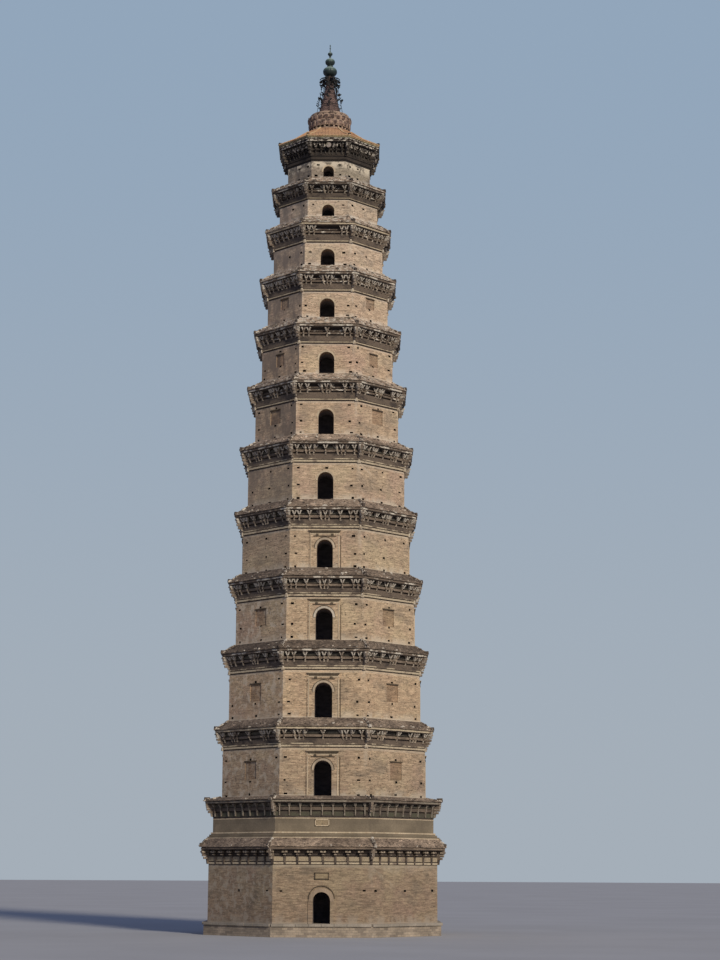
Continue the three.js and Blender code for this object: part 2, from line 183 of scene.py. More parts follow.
def map_courses(piece):
    """A map in metres on each face: along the face, and up it. Brick courses follow it."""
    mesh = piece.data
    corners = len(mesh.loops)
    normals = np.empty(len(mesh.polygons) * 3)
    mesh.polygons.foreach_get("normal", normals)
    sizes = np.empty(len(mesh.polygons), int)
    mesh.polygons.foreach_get("loop_total", sizes)
    normals = np.repeat(normals.reshape(-1, 3), sizes, axis=0)
    points = np.empty(len(mesh.vertices) * 3)
    mesh.vertices.foreach_get("co", points)
    which = np.empty(corners, int)
    mesh.loops.foreach_get("vertex_index", which)
    points = points.reshape(-1, 3)[which]
    along = np.stack([-normals[:, 1], normals[:, 0], np.zeros(corners)], axis=1)
    length = np.linalg.norm(along, axis=1, keepdims=True)
    level = length[:, 0] < 0.05
    along[level] = (1, 0, 0)
    length[level] = 1
    along /= length
    up = np.cross(normals, along)
    flat = np.stack([(points * along).sum(axis=1), (points * up).sum(axis=1)], axis=1)
    mesh.uv_layers.new(name="courses").data.foreach_set("uv", flat.ravel())


def copies_of(template, places):
    """Copies of one modelled piece, each with its own mesh, set by their matrices."""
    made = []
    for place in places:
        copy = bpy.data.objects.new(template.name, template.data.copy())
        copy.data.transform(place)
        bpy.context.scene.collection.objects.link(copy)
        made.append(copy)
    return made


def all_set(template, places):
    """The copies of a piece, set by their matrices. The piece itself is removed."""
    made = copies_of(template, places)
    bpy.data.objects.remove(template)
    return made


def joined(name, parts):
    """One piece out of several, under its own name."""
    bpy.ops.object.select_all(action="DESELECT")
    for part in parts:
        part.select_set(True)
    bpy.context.view_layer.objects.active = parts[0]
    bpy.ops.object.join()
    piece = bpy.context.object
    piece.name = name
    piece.data.name = name
    bpy.ops.object.select_all(action="DESELECT")
    return piece


def with_modifier(piece, kind, **settings):
    """The piece after one modifier, applied."""
    bpy.context.view_layer.objects.active = piece
    modifier = piece.modifiers.new(kind.title(), kind)
    for key, value in settings.items():
        setattr(modifier, key, value)
    bpy.ops.object.modifier_apply(modifier=modifier.name)
    return piece


def stone_block(name, size, place, edge, finish):
    """A cut block with softened edges."""
    bpy.ops.mesh.primitive_cube_add(size=1, location=place, scale=size)
    block = bpy.context.object
    block.name = name
    bpy.ops.object.transform_apply(location=True, scale=True)
    with_modifier(block, "BEVEL", width=edge, segments=1)
    block.data.materials.append(finish)
    return block


def mass_between(name, half, foot, top, finish):
    """An octagonal mass with its flats to the front, back and sides."""
    bpy.ops.mesh.primitive_cylinder_add(
        vertices=8, radius=half / math.cos(half_sector), depth=top - foot,
        location=(0, 0, (foot + top) / 2), rotation=(0, 0, half_sector),
    )
    mass = bpy.context.object
    mass.name = name
    bpy.ops.object.transform_apply(location=True, rotation=True)
    mass.data.materials.append(finish)
    return mass


dice = random.Random(5)
plinth_brick = coursed_finish("patched_plinth_render", render_pale, render_dark, rubble_joint,
                              (0.36 * real, 0.15 * real, 0.012 * real))
coping_stone = coursed_finish("worn_coping_stone", stone_light, stone_dark, stone_dark,
                              (4.0, 4.0, 0.001), relief=0.3)
coping_foot = plinth_top - coping_height
coping_side = 2 * (plinth_half + coping_out) * math.tan(half_sector)
coping_count = round(coping_side / coping_block)
coping_length = coping_side / coping_count
coping_places = []
for side in range(8):
    for i in range(coping_count):
        at_corner = i in (0, coping_count - 1)
        along = (i - (coping_count - 1) / 2) * coping_length * (corner_shift if at_corner else 1)
        back = coping_depth / 2 + dice.uniform(0, 0.012) * real
        settled = dice.uniform(0, 0.008) * real
        shift = Vector((along, back - plinth_half - coping_out, plinth_top - coping_height / 2 - settled))
        coping_places.append(
            Matrix.Rotation(side * 2 * half_sector, 4, "Z") @ Matrix.Translation(shift)
            @ Matrix.Diagonal((corner_shrink if at_corner else 1, 1, 1, 1))
        )
coping_unit = stone_block("coping_block", (coping_length - coping_joint, coping_depth, coping_height),
                          (0, 0, 0), 0.015 * real, coping_stone)
plinth = joined("stone_plinth", [
    mass_between("plinth_mass", plinth_half - coping_out, 0, coping_foot, plinth_brick),
    mass_between("coping_core", plinth_half - 0.3 * real, coping_foot, plinth_top, coping_stone),
    *all_set(coping_unit, coping_places),
])
map_courses(plinth)
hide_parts("plinth")
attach(plinth, "root")

# Core and floors: the masonry shaft in the middle and the brick decks between it and the walls. They are
# bare, dusty and unlit, darkened further by painted shade, and show only through the openings.
dust_and_shade_light = (0.36, 0.31, 0.29, 1)
dust_and_shade_dark = (0.22, 0.19, 0.18, 1)


def dust_and_shade_finish(name, light, dark, scale):
    """Dull masonry in clouds of dust and soot, in colours darkened as painted shade."""
    material, tree, shader, place = bare_finish(name, 0.98)
    cloud = mottle(tree, place, scale, (1, 1, 3))
    weather(tree, shader, blended(tree, graded(tree, cloud, 0.3, 0.7), dark, light), cloud, 0.4, 0.02)
    return material


# Painted shade: the core and floors get darker colours so that the openings look dark.
core_dust_and_shade = dust_and_shade_finish("core_brick_dust_and_painted_shade", dust_and_shade_light, dust_and_shade_dark, 4.0)
floor_dust_and_shade = dust_and_shade_finish("floor_brick_dust_and_painted_shade", dust_and_shade_light, dust_and_shade_dark, 7.0)
for name, cad_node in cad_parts.items():
    if name == "core" or name.startswith("floor_"):
        cad_node.data.materials.clear()
        cad_node.data.materials.append(core_dust_and_shade if name == "core" else floor_dust_and_shade)

# Walls: thirteen octagonal rings of grey-yellow brick, laid in thin courses with pale joints. Holes for
# the scaffold poles are left in rows, and the openings have arches of moulded brick.
storeys = range(1, 14)
brick_size = (0.36 * real, 0.075 * real, 0.010 * real)
brick_pale = (0.545, 0.389, 0.238, 1)
brick_warm = (0.41, 0.272, 0.162, 1)
brick_joint = (0.48, 0.358, 0.227, 1)
patch_pink = (0.455, 0.30, 0.205, 1)
patch_yellow = (0.545, 0.413, 0.245, 1)
patch_brown = (0.285, 0.214, 0.143, 1)
wall_patches = (                          # size and stretch of the cloud, where in it, how strong, and colour
    (0.55, (1, 1, 0.7), 0.48, 0.66, 0.65, patch_pink),
    (0.78, (1, 0.8, 1.2), 0.50, 0.64, 0.6, patch_yellow),
    (1.1, (1, 1, 1.6), 0.5, 0.70, 0.7, patch_brown),
)
recess_painted_shade = (0.72, 0.665, 0.63, 1)
lime_pale = (0.66, 0.55, 0.40, 1)
damp_brown = (0.22, 0.165, 0.115, 1)
# The darker rungs towards the ground are painted shade.
height_tints_and_shade = (                          # share of 32 m of height, and the walls' tint there
    (0.0, (0.55, 0.53, 0.55)), (0.07, (0.63, 0.63, 0.63)), (0.145, (0.80, 0.80, 0.82)),
    (0.25, (1.03, 1.0, 0.98)), (0.43, (0.97, 0.98, 1.0)), (0.61, (1.08, 1.06, 1.09)),
    (0.735, (1.15, 1.18, 1.29)), (0.79, (1.12, 1.18, 1.31)), (0.84, (0.58, 0.65, 0.77)),
)
frieze_deep = (0.062, 0.045, 0.034, 1)
soffit_drop = {1: 0.75 * real, 2: 0.47 * real, 13: 0.35 * real}
drop_base = 0.80 * real
drop_step = 0.013 * real
last_framed = 6                           # storeys 3 to 6 have frames and lintels round their windows
surround_out = 0.06 * real
surround_side = 0.5 * real
surround_above = 0.6 * real
jamb_below = 0.35 * real                  # from the top of a frame down to the head of its jambs
jamb_size = (0.07 * real, 0.08 * real)    # its width and depth, and those of the dark seam beside it
shadow_seam_size = (0.06 * real, 0.04 * real)
rim_width = 0.05 * real                   # the dark rim over the ring of an arch
trim_edge = 0.01 * real                   # softened edges of frames and dark lines
holes_closed = 0.05                       # share of the pole holes that are bricked up
door_moulding = 0.3 * real
pole_hole = (0.18 * real, 0.5 * real, 0.12 * real)        # its width, depth and height
hole_inset = {1: 0.5, 9: 0.3, 10: 0.3}    # from a side's ends to its holes, in real metres
usual_inset = 0.4
hole_levels = {                           # rows of holes in each storey, in real metres over the ground
    1: (2.90,),
    3: (9.09, 10.00, 11.45),
    4: (14.30, 15.13, 16.62),
    5: (19.49, 20.38, 21.71),
    6: (24.28, 25.16, 26.38),
    7: (28.98, 29.92, 31.09),
    8: (33.66, 34.43, 35.64),
    9: (38.06, 38.73, 39.79),
    10: (42.16, 42.91),
    11: (46.05, 46.88),
    12: (50.53,),
    13: (52.92, 53.65),
}
slight_holes = 10                         # from this storey on, the diagonal sides have fewer holes
hole_over_arch = 7                        # this storey has one over each window
main_sides = (0, 2, 4, 6)
diagonal_sides = (1, 3, 5, 7)
panel_shadow_heads = {                           # width and level of the dark line over each blind panel
    3: (1.24, 11.31), 4: (1.16, 16.48), 5: (1.14, 21.56),
    8: (1.08, 35.56), 9: (0.86, 39.64), 10: (0.86, 43.74),
}


def half_at(node, level):
    """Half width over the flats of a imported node, at one of its levels."""
    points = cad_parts[node].data.vertices
    return max(point.co.x for point in points if abs(point.co.z - level) < 0.002)


def opening_of(node):
    """Half width and crown level of the arched opening in the front of a packed wall."""
    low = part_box(node)[0]
    points = [point.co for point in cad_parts[node].data.vertices if point.co.y < 0.8 * low.y]
    middle = [point.z for point in points if abs(point.x) < 0.001]
    sides_of_it = [abs(point.x) for point in points if abs(point.z - low.z) < 0.002]
    return min(sides_of_it), max(middle) if middle else None


class Storey:
    """Levels and widths of one storey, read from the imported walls."""

    def __init__(self, number):
        self.number = number
        self.node = f"wall_{number:02d}"
        low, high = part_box(self.node)
        self.foot = low.z
        self.head = high.z
        self.half = half_at(self.node, high.z)
        self.side = 2 * self.half * math.tan(half_sector)
        self.arch_half, self.crown = opening_of(self.node) if number != 2 else (0, None)
        if number == 1:
            self.crown -= door_moulding
        above = f"wall_{number + 1:02d}" if number < 13 else "top_roof"
        self.next_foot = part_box(above)[0].z
        self.next_half = half_at(above, self.next_foot)
        self.soffit = self.next_foot - soffit_drop.get(number, drop_base + drop_step * (number - 1))


tower = {number: Storey(number) for number in storeys}


def limed(tree, place, colour):
    """Lime at the corners, the crest and the foot of a wall."""
    span = lay(tree, "ShaderNodeSeparateXYZ", {0: lay(tree, "ShaderNodeUVMap", uv_map="span").outputs[0]})
    across = span.outputs["X"]
    up = span.outputs["Y"]
    ragged = graded(tree, mottle(tree, place, 3.0, (1, 1, 0.6)), 0.4, 0.6)
    corner = product(tree, graded(tree, across, 0.90, 0.99, 0, 0.35), ragged, graded(tree, up, 0.35, 0.8))
    crest = graded(tree, up, 0.94, 0.965, 0, 0.35)
    salts = product(tree, graded(tree, up, 0.20, 0.03, 0, 0.6), ragged)
    foot_line = graded(tree, up, 0.035, 0.015, 0, 0.6)
    for share in (corner, crest, salts, foot_line):
        colour = blended(tree, share, colour, lime_pale)
    return colour


def damp(tree, place, level, colour):
    """On the sides to the left, brown damp high up, and marks of lime low down."""
    facing = lay(tree, "ShaderNodeNewGeometry").outputs["True Normal"]
    damp_side = graded(tree, lay(tree, "ShaderNodeSeparateXYZ", {0: facing}).outputs["X"], -0.2, -0.6)
    damp_patch = graded(tree, mottle(tree, place, 2.6, (1, 1, 0.55), 6.0, 0.7), 0.34, 0.62)
    damp_share = graded(tree, level, 12.5, 16.5, 0.20, 1.0)
    colour = blended(tree, product(tree, damp_side, damp_patch, damp_share), colour, damp_brown)
    lime_mark = graded(tree, mottle(tree, place, 5.0, (1, 1, 0.8), 5.0, 0.65), 0.50, 0.60, 0, 0.6)
    lime_share = graded(tree, level, 12.5, 11.0)
    return blended(tree, product(tree, damp_side, lime_mark, lime_share), colour, lime_pale)


def tint_and_shade_at(tree, level):
    """The walls' tint at a level, with painted shade darkening it towards the ground."""
    height = lay(tree, "ShaderNodeMapRange", {"Value": level, "From Max": 32.0}).outputs[0]
    ladder = lay(tree, "ShaderNodeValToRGB", {"Fac": height})
    rungs = ladder.color_ramp.elements
    for position, tint in height_tints_and_shade[1:-1]:
        rungs.new(position).color = (*tint, 1)
    for rung, (position, tint) in ((rungs[0], height_tints_and_shade[0]), (rungs[-1], height_tints_and_shade[-1])):
        rung.position = position
        rung.color = (*tint, 1)
    return ladder.outputs[0]


def brick_wall_finish(name):
    """Thin brick courses with stains and pale repairs, and painted shade in recesses and deeper inside the
    openings.
    """
    material, tree, shader, place = bare_finish(name, 0.94)
    colour, in_joint = brick_bond(tree, brick_pale, brick_warm, brick_joint, brick_size, 0.4, -0.15)
    for scale, stretch, low, high, strength, tint in wall_patches:
        patch = graded(tree, mottle(tree, place, scale, stretch), low, high, 0, strength)
        colour = blended(tree, patch, colour, tint)
    streak = graded(tree, mottle(tree, place, 6.0, (0.6, 0.6, 3.2), 5.0, 0.7), 0.30, 0.70, 0.66, 1.30)
    level = upward(tree, place)
    fleck_tone = graded(tree, level, 2.4, 4.8, 0.74, 0.42)
    fleck = graded(tree, mottle(tree, place, 14.0, (1, 1, 1.8), 3.0), 0.34, 0.45, fleck_tone, 1.0)
    spark = graded(tree, mottle(tree, place, 18.0, (0.8, 0.8, 2.2), 2.0), 0.55, 0.68, 1.0, 1.35)
    grain = graded(tree, mottle(tree, place, 40.0), 0.25, 0.75, 0.84, 1.12)
    colour = toned(tree, colour, product(tree, streak, fleck, spark, grain))
    colour = damp(tree, place, level, limed(tree, place, colour))
    colour = toned(tree, colour, tint_and_shade_at(tree, level))
    whitewash = graded(tree, mottle(tree, place, 5.0), 0.42, 0.56)
    top_storey = graded(tree, level, 26.60, 26.85)
    colour = blended(tree, product(tree, top_storey, whitewash), colour, lime_pale)
    depth = lay(tree, "ShaderNodeAttribute", attribute_name="depth").outputs["Fac"]
    # Painted shade: faces set back behind the outer face, in recessed panels and reveals, are darkened.
    colour = blended(tree, graded(tree, depth, 0.0, 0.02 * real), colour, recess_painted_shade, "MULTIPLY")
    # Painted shade: deeper inside the openings the colour fades to the dark core colour.
    inside = graded(tree, depth, 0.3 * real, 0.9 * real)
    relief = lay(tree, "ShaderNodeMath", {0: grain, 1: in_joint}, operation="SUBTRACT").outputs[0]
    weather(tree, shader, blended(tree, inside, colour, dust_and_shade_dark), relief, 0.45, 0.008)
    return material


def map_span(piece, storey):
    """A second map, from the middle of a side to its corners and from foot to head, and how deep a
    point lies behind the outer face."""
    mesh = piece.data
    points = np.empty(len(mesh.vertices) * 3)
    mesh.vertices.foreach_get("co", points)
    points = points.reshape(-1, 3)
    turns = np.arange(8) * 2 * half_sector
    outward = np.stack([np.sin(turns), -np.cos(turns)], axis=1)
    along = np.stack([np.cos(turns), np.sin(turns)], axis=1)
    reach = points[:, :2] @ outward.T
    nearest = reach.argmax(axis=1)
    rows = np.arange(len(points))
    off_middle = np.abs((points[:, :2] @ along.T)[rows, nearest])
    across = off_middle / (storey.side / 2)
    up = (points[:, 2] - storey.foot) / (storey.head - storey.foot)
    which = np.empty(len(mesh.loops), int)
    mesh.loops.foreach_get("vertex_index", which)
    flat = np.stack([across, up], axis=1)[which]
    mesh.uv_layers.new(name="span").data.foreach_set("uv", flat.ravel())
    depth = mesh.attributes.new("depth", "FLOAT", "POINT")
    depth.data.foreach_set("value", np.maximum(0, storey.half - reach.max(axis=1)))


def copy_of_node(node, name):
    """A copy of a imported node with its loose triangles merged."""
    piece = bpy.data.objects.new(name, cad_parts[node].data.copy())
    bpy.context.scene.collection.objects.link(piece)
    piece.data.materials.clear()
    bpy.context.view_layer.objects.active = piece
    bpy.ops.object.mode_set(mode="EDIT")
    bpy.ops.mesh.select_all(action="SELECT")
    bpy.ops.mesh.remove_doubles(threshold=0.0002)
    bpy.ops.object.mode_set(mode="OBJECT")
    return piece


def set_at(side, along, out, level, half):
    """The matrix that moves a piece from the origin to a side of the tower."""
    return Matrix.Rotation(side * 2 * half_sector, 4, "Z") @ Matrix.Translation((along, -half - out, level))


def extrude_by(step):
    """Extrudes what is picked by a step along each axis."""
    bpy.ops.mesh.extrude_region_move(TRANSFORM_OT_translate={"value": step})


def close_up(threshold):
    """The end of a shape's edit: doubles are merged, and its faces point outwards."""
    bpy.ops.mesh.select_all(action="SELECT")
    bpy.ops.mesh.remove_doubles(threshold=threshold)
    bpy.ops.mesh.normals_make_consistent(inside=False)
    bpy.ops.object.mode_set(mode="OBJECT")


def octagon_course(name, outline, *finishes):
    """A ring round the tower from a closed outline of (half width over the flats, level)."""
    half, level = outline[0]
    bpy.ops.mesh.primitive_circle_add(
        vertices=8, radius=half / math.cos(half_sector), location=(0, 0, level), rotation=(0, 0, half_sector),
    )
    ring = bpy.context.object
    ring.name = name
    bpy.ops.object.transform_apply(location=True, rotation=True)
    bpy.ops.object.mode_set(mode="EDIT")
    for next_half, next_level in outline[1:] + outline[:1]:
        extrude_by((0, 0, next_level - level))
        growth = next_half / half
        bpy.ops.transform.resize(value=(growth, growth, 1), center_override=(0, 0, next_level))
        half, level = next_half, next_level
    close_up(0.0003)
    for finish in finishes:
        ring.data.materials.append(finish)
    return ring


def arch_ring(name, half_width, spring, foot, ring, out, finish):
    """A moulded arch on the front, with legs down to its foot: a square section turned over the opening."""
    bpy.ops.mesh.primitive_plane_add(size=1)
    arch = bpy.context.object
    arch.name = name
    middle = half_width + ring / 2
    bpy.ops.object.mode_set(mode="EDIT")
    bpy.ops.transform.resize(value=(ring, out, 1))
    bpy.ops.transform.translate(value=(middle, -out / 2, foot))
    extrude_by((0, 0, spring - foot))
    bpy.ops.mesh.spin(steps=12, angle=math.pi, center=(0, 0, spring), axis=(0, 1, 0))
    extrude_by((0, 0, foot - spring))
    close_up(0.0005)
    arch.data.materials.append(finish)
    return arch


def hole_places(storey):
    """Where the pole holes of a storey are, as (side, along it, level)."""
    edge = storey.side / 2 - hole_inset.get(storey.number, usual_inset) * real
    levels = hole_levels[storey.number]
    for level in levels:
        over_arch = storey.number == hole_over_arch and level == levels[-1]
        for side in range(8):
            columns = [-edge, 0.0, edge] if over_arch or side in diagonal_sides else [-edge, edge]
            if side in diagonal_sides and storey.number >= slight_holes:
                columns = [-edge, 0.0] if side in (1, 5) else [0.0, edge]
            for column in columns:
                if dice.random() > holes_closed:
                    along = column + dice.uniform(-0.09, 0.09) * real
                    yield side, along, (level + dice.uniform(-0.05, 0.05)) * real


# Painted shade: a near-black finish inside the pole holes.
pole_hole_shade = dust_and_shade_finish("painted_shade_in_pole_holes", (0.03, 0.024, 0.02, 1), (0.015, 0.012, 0.01, 1), 9.0)
wall_brick = brick_wall_finish("grey_yellow_brick")
row_brick = (0.18 * real, 4.0, 0.008 * real)              # one row of bricks on end, with upright joints only
plaster_patch = (1.9 * real, 0.8 * real, 0.004 * real)
pale_moulding = coursed_finish("moulded_brick", (0.60, 0.47, 0.31, 1), (0.45, 0.33, 0.21, 1), brick_joint,
                               row_brick, (0.8, 1.1))
pale_arch = coursed_finish("pale_arch_brick", (0.66, 0.56, 0.43, 1), (0.52, 0.43, 0.32, 1), brick_joint,
                           row_brick, (0.7, 1.1))
worn_arch = coursed_finish("worn_arch_brick", (0.53, 0.41, 0.28, 1), (0.40, 0.30, 0.20, 1), brick_joint,
                           row_brick, (0.7, 1.1))
door_brick = coursed_finish("dull_door_brick", (0.37, 0.265, 0.175, 1), (0.28, 0.20, 0.13, 1), brick_joint,
                            row_brick, (0.8, 1.1))
# Painted shade with stain: the dark moulding under lintels, beside frames, over arches and panels, and
# between the steps of the second wall.
shade_and_stain_moulding = coursed_finish("shade_and_stain_moulding", (0.12, 0.085, 0.05, 1), (0.07, 0.05, 0.03, 1),
                                  frieze_deep, row_brick, (0.7, 1.2))
plaster = coursed_finish("old_grey_plaster", (0.216, 0.166, 0.107, 1), (0.170, 0.130, 0.085, 1),
                         (0.184, 0.138, 0.092, 1), plaster_patch, (0.78, 1.14), relief=0.2)

# The ring over an opening, in real metres: its width, out from the wall, finish, and the rise of its rim.
plain_ring = (0.11, 0.015, pale_moulding, 0)
framed_ring = (0.14, 0.05, worn_arch, 0)
arch_rings = {
    1: (0.25, 0.04, door_brick, 0.13), 3: framed_ring, 4: framed_ring, 5: (0.14, 0.05, pale_arch, 0),
    6: framed_ring,
}
ring_leg = 0.05 * real                    # how far the ring runs down below the spring of the arch

# Lines of the second wall, in real metres: out from it, and from and to over its foot, and finish.
# The dark line between the pale ones is painted shadow and stain.
wall_lines = (
    (0.375, -0.04, 0.05, pale_moulding),
    (0.25, 0.11, 0.15, shade_and_stain_moulding),
    (0.135, 0.31, 0.40, pale_moulding),
    (0.015, 1.24, 1.30, pale_moulding),
)

# The slabs of a lintel, in real metres: width, out from the frame, height, middle over the frame's top,
# middle along it, and finish.
# The dark slabs under the pale top lip are painted shade and stain.
lintel_slabs = (
    (2.20, 0.22, 0.05, 0.04, 0, pale_moulding),
    (2.08, 0.17, 0.09, -0.03, 0, shade_and_stain_moulding),
    (1.92, 0.11, 0.08, -0.115, 0, shade_and_stain_moulding),
    (2.02, 0.03, 0.10, -0.205, 0, pale_moulding),
    (0.17, 0.12, 0.14, -0.27, -0.51, shade_and_stain_moulding),
    (0.17, 0.12, 0.14, -0.27, 0.51, shade_and_stain_moulding),
    (1.56, 0.13, 0.05, -0.355, 0, shade_and_stain_moulding),
)

for storey in tower.values():
    number = storey.number
    wall = copy_of_node(storey.node, f"wall_shell_{number:02d}")
    wall.data.materials.append(plaster if number == 2 else wall_brick)
    if number in hole_levels:
        cutters = []
        for side, along, level in hole_places(storey):
            size = [extent * dice.uniform(0.75, 1.35) for extent in pole_hole]
            bpy.ops.mesh.primitive_cube_add(size=1, scale=(size[0], pole_hole[1], size[2]))
            cutter = bpy.context.object
            bpy.ops.object.transform_apply(scale=True)
            cutter.data.transform(set_at(side, along, 0, level, storey.half))
            cutters.append(cutter)
        cutter = joined("pole_holes", cutters)
        cutter.data.materials.append(pole_hole_shade)
        wall.data.materials.append(pole_hole_shade)
        with_modifier(wall, "BOOLEAN", object=cutter, operation="DIFFERENCE", solver="EXACT",
                      material_mode="TRANSFER")
        bpy.data.objects.remove(cutter)
    parts = [wall]
    framed = 3 <= number <= last_framed
    if storey.crown:
        width, proud, finish, rim_rise = arch_rings.get(number, plain_ring)
        spring = storey.crown - storey.arch_half
        rim_spring = spring + rim_rise * real
        arch_bands = [arch_ring("arch", storey.arch_half, spring, spring - ring_leg,
                                width * real, proud * real, finish)]
        if number <= last_framed:
            # Painted shadow: a dark rim over the ring of the arches of the lower storeys.
            arch_bands.append(arch_ring("arch_rim", storey.arch_half + width * real, rim_spring, rim_spring,
                                        rim_width, 0.6 * proud * real, shade_and_stain_moulding))
        face = surround_out if framed or number == 1 else 0
        open_sides = main_sides if number > 1 else main_sides[:1]
        for band in arch_bands:
            parts += all_set(band, [set_at(side, 0, face, 0, storey.half) for side in open_sides])
    if number == 2:
        for out, low, high, finish in wall_lines:
            inner = storey.half + (out - 0.10) * real
            outer = storey.half + out * real
            foot = storey.foot + low * real
            top = storey.foot + high * real
            outline = [(inner, foot), (outer, foot), (outer, top), (inner, top)]
            parts.append(octagon_course("wall_line", outline, finish))
    # Painted shadow: a dark line over each blind panel on the diagonal sides.
    if number in panel_shadow_heads:
        width, level = panel_shadow_heads[number]
        line = stone_block("panel_head", (width * real, 0.08 * real, 0.08 * real), (0, 0, 0), trim_edge,
                           shade_and_stain_moulding)
        parts += all_set(line, [set_at(side, 0, 0, level * real, storey.half) for side in diagonal_sides])
    if framed:
        frame_half = storey.arch_half + surround_side
        frame_top = storey.crown + surround_above
        for width, out, height, level, along, finish in lintel_slabs:
            slab = stone_block("lintel", (width * real, out * real, height * real), (0, 0, 0), 0.012 * real,
                               finish)
            parts += all_set(slab, [
                set_at(side, along * real, surround_out, frame_top + level * real, storey.half)
                for side in main_sides
            ])
        jamb_height = frame_top - storey.foot - jamb_below
        level = storey.foot + jamb_height / 2
        jamb_along = frame_half - 0.10 * real
        jamb = stone_block("jamb", (*jamb_size, jamb_height), (0, 0, 0), trim_edge, pale_moulding)
        parts += all_set(jamb, [
            set_at(side, hand * jamb_along, surround_out, level, storey.half)
            for side in main_sides for hand in (-1, 1)
        ])
        # Painted shadow: a dark seam on the wall beside each frame.
        seam = stone_block("jamb_painted_shadow", (*shadow_seam_size, jamb_height), (0, 0, 0), trim_edge, shade_and_stain_moulding)
        parts += all_set(seam, [
            set_at(side, frame_half + 0.03 * real, 0, level, storey.half) for side in main_sides
        ])
    shell = joined(f"brick_wall_{number:02d}", parts)
    map_courses(shell)
    map_span(shell, storey)
    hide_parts(storey.node)
    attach(shell, "root")

# Eaves: each storey ends in string courses, a dark frieze and rows of brick brackets between tie beams,
# and the courses over them step out to the eave and back up to the next wall.
string_light = (0.50, 0.395, 0.26, 1)
frieze_brown = (0.150, 0.108, 0.075, 1)
board_grey = (0.140, 0.120, 0.085, 1)
beam_brown = (0.235, 0.172, 0.120, 1)
stem_tan = (0.40, 0.31, 0.22, 1)
head_pale = (0.60, 0.52, 0.41, 1)
cream_panel = (0.375, 0.29, 0.185, 1)
slope_grey = (0.350, 0.255, 0.178, 1)
slope_deep = (0.170, 0.120, 0.083, 1)
moss_green = (0.13, 0.125, 0.065, 1)
post_grey = (0.285, 0.235, 0.175, 1)
head_dull = (0.40, 0.315, 0.22, 1)
frieze_green = (0.088, 0.080, 0.048, 1)
edge_brown = (0.25, 0.178, 0.122, 1)
edge_grey = (0.25, 0.205, 0.15, 1)
# From each level up, the eaves and the slopes are this much darker or lighter than below it.
soot_steps = ((25.42, 0.72), (26.94, 0.46))
slope_steps = ((4.0, 0.74), (8.2, 0.76), (10.6, 1.2), (12.9, 1.45), (16.5, 1.3))
overhang = 0.60 * real
wall_share = 0.38                         # wall thickness over the half width
floor_bearing = 0.25 * real
floor_depth = 0.30 * real
slope_courses = 6
steps_at_foot = 0.36 * real               # base steps of the second wall, over the first eave
ridge_edge = 0.02 * real
slope_hip = (0.10 * real, 0.08 * real)    # width and height of the ridge on each hip of a slope
hip_back = 0.04 * real                    # where it begins, in from the corner of the eave
chip_depth = 0.075 * real                 # how far the eaves' edges are chipped and swollen
chip_length = 0.22 * real
sound_to = 0.02 * real                    # out from the wall: no wear up to here
worn_run = 0.3 * real                     # and from nothing at the wall to full wear over this run
corners = [side + 0.5 for side in range(8)]    # the tower's corners, as places between two sides


def clay_finish(name, light, dark, patch, balance=(0.42, 0.62), relief=0.5, soot=()):
    """Fired clay, weathered from one colour to another in patches, with a rough grain."""
    material, tree, shader, place = bare_finish(name, 0.95)
    cloud = mottle(tree, place, patch, (1, 1, 1.5), 5.0, 0.65)
    colour = blended(tree, graded(tree, cloud, *balance), dark, light)
    grain = graded(tree, mottle(tree, place, 30.0, (1, 1, 1.4), 5.0), 0.28, 0.72, 0.66, 1.28)
    colour = toned(tree, colour, grain)
    height = upward(tree, place)
    for level, tone in soot:
        colour = toned(tree, colour, graded(tree, height, level, level + 0.04, 1.0, tone))
    weather(tree, shader, colour, grain, relief, 0.008)
    return material


def eave_finish(name, light, dark, patch, balance=(0.42, 0.62)):
    """Clay of the eaves, with the soot of the top two."""
    return clay_finish(name, light, dark, patch, balance, soot=soot_steps)


def slope_finish(name, light, dark, crusts_from):
    """Grey-brown courses of a slope, with crusts of lime and moss above a level."""
    material = clay_finish(name, light, dark, 1.6, (0.35, 0.65), soot=slope_steps)
    tree = material.node_tree
    base = tree.nodes["Principled BSDF"].inputs["Base Color"]
    place = lay(tree, "ShaderNodeTexCoord").outputs["Object"]
    height = upward(tree, place)
    exposed = graded(tree, height, crusts_from, crusts_from + 3.0)
    crust = graded(tree, mottle(tree, place, 6.0, (1, 1, 2), 4.0), 0.52, 0.58, 0, 0.8)
    moss = graded(tree, mottle(tree, place, 3.4, (1, 1, 1.5), 4.0), 0.56, 0.66, 0, 0.6)
    dark_fleck = graded(tree, mottle(tree, place, 10.0, (1, 1, 2.4), 5.0, 0.7), 0.40, 0.50, 0.42, 1.0)
    pale_fleck = graded(tree, mottle(tree, place, 8.0, (1, 1, 2.6), 5.0, 0.7), 0.54, 0.64, 1.0, 2.0)
    colour = toned(tree, base.links[0].from_socket, product(tree, dark_fleck, pale_fleck))
    colour = blended(tree, product(tree, exposed, moss), colour, moss_green)
    colour = blended(tree, product(tree, exposed, crust), colour, head_pale)
    tree.links.new(colour, base)
    return material


string_brick = eave_finish("pale_string_course", string_light, beam_brown, 3.0, (0.34, 0.50))
thin_string = eave_finish("thin_string_course", string_light, frieze_brown, 2.4, (0.46, 0.56))
frieze_brick = eave_finish("brown_frieze_brick", frieze_brown, frieze_deep, 2.2, (0.34, 0.56))
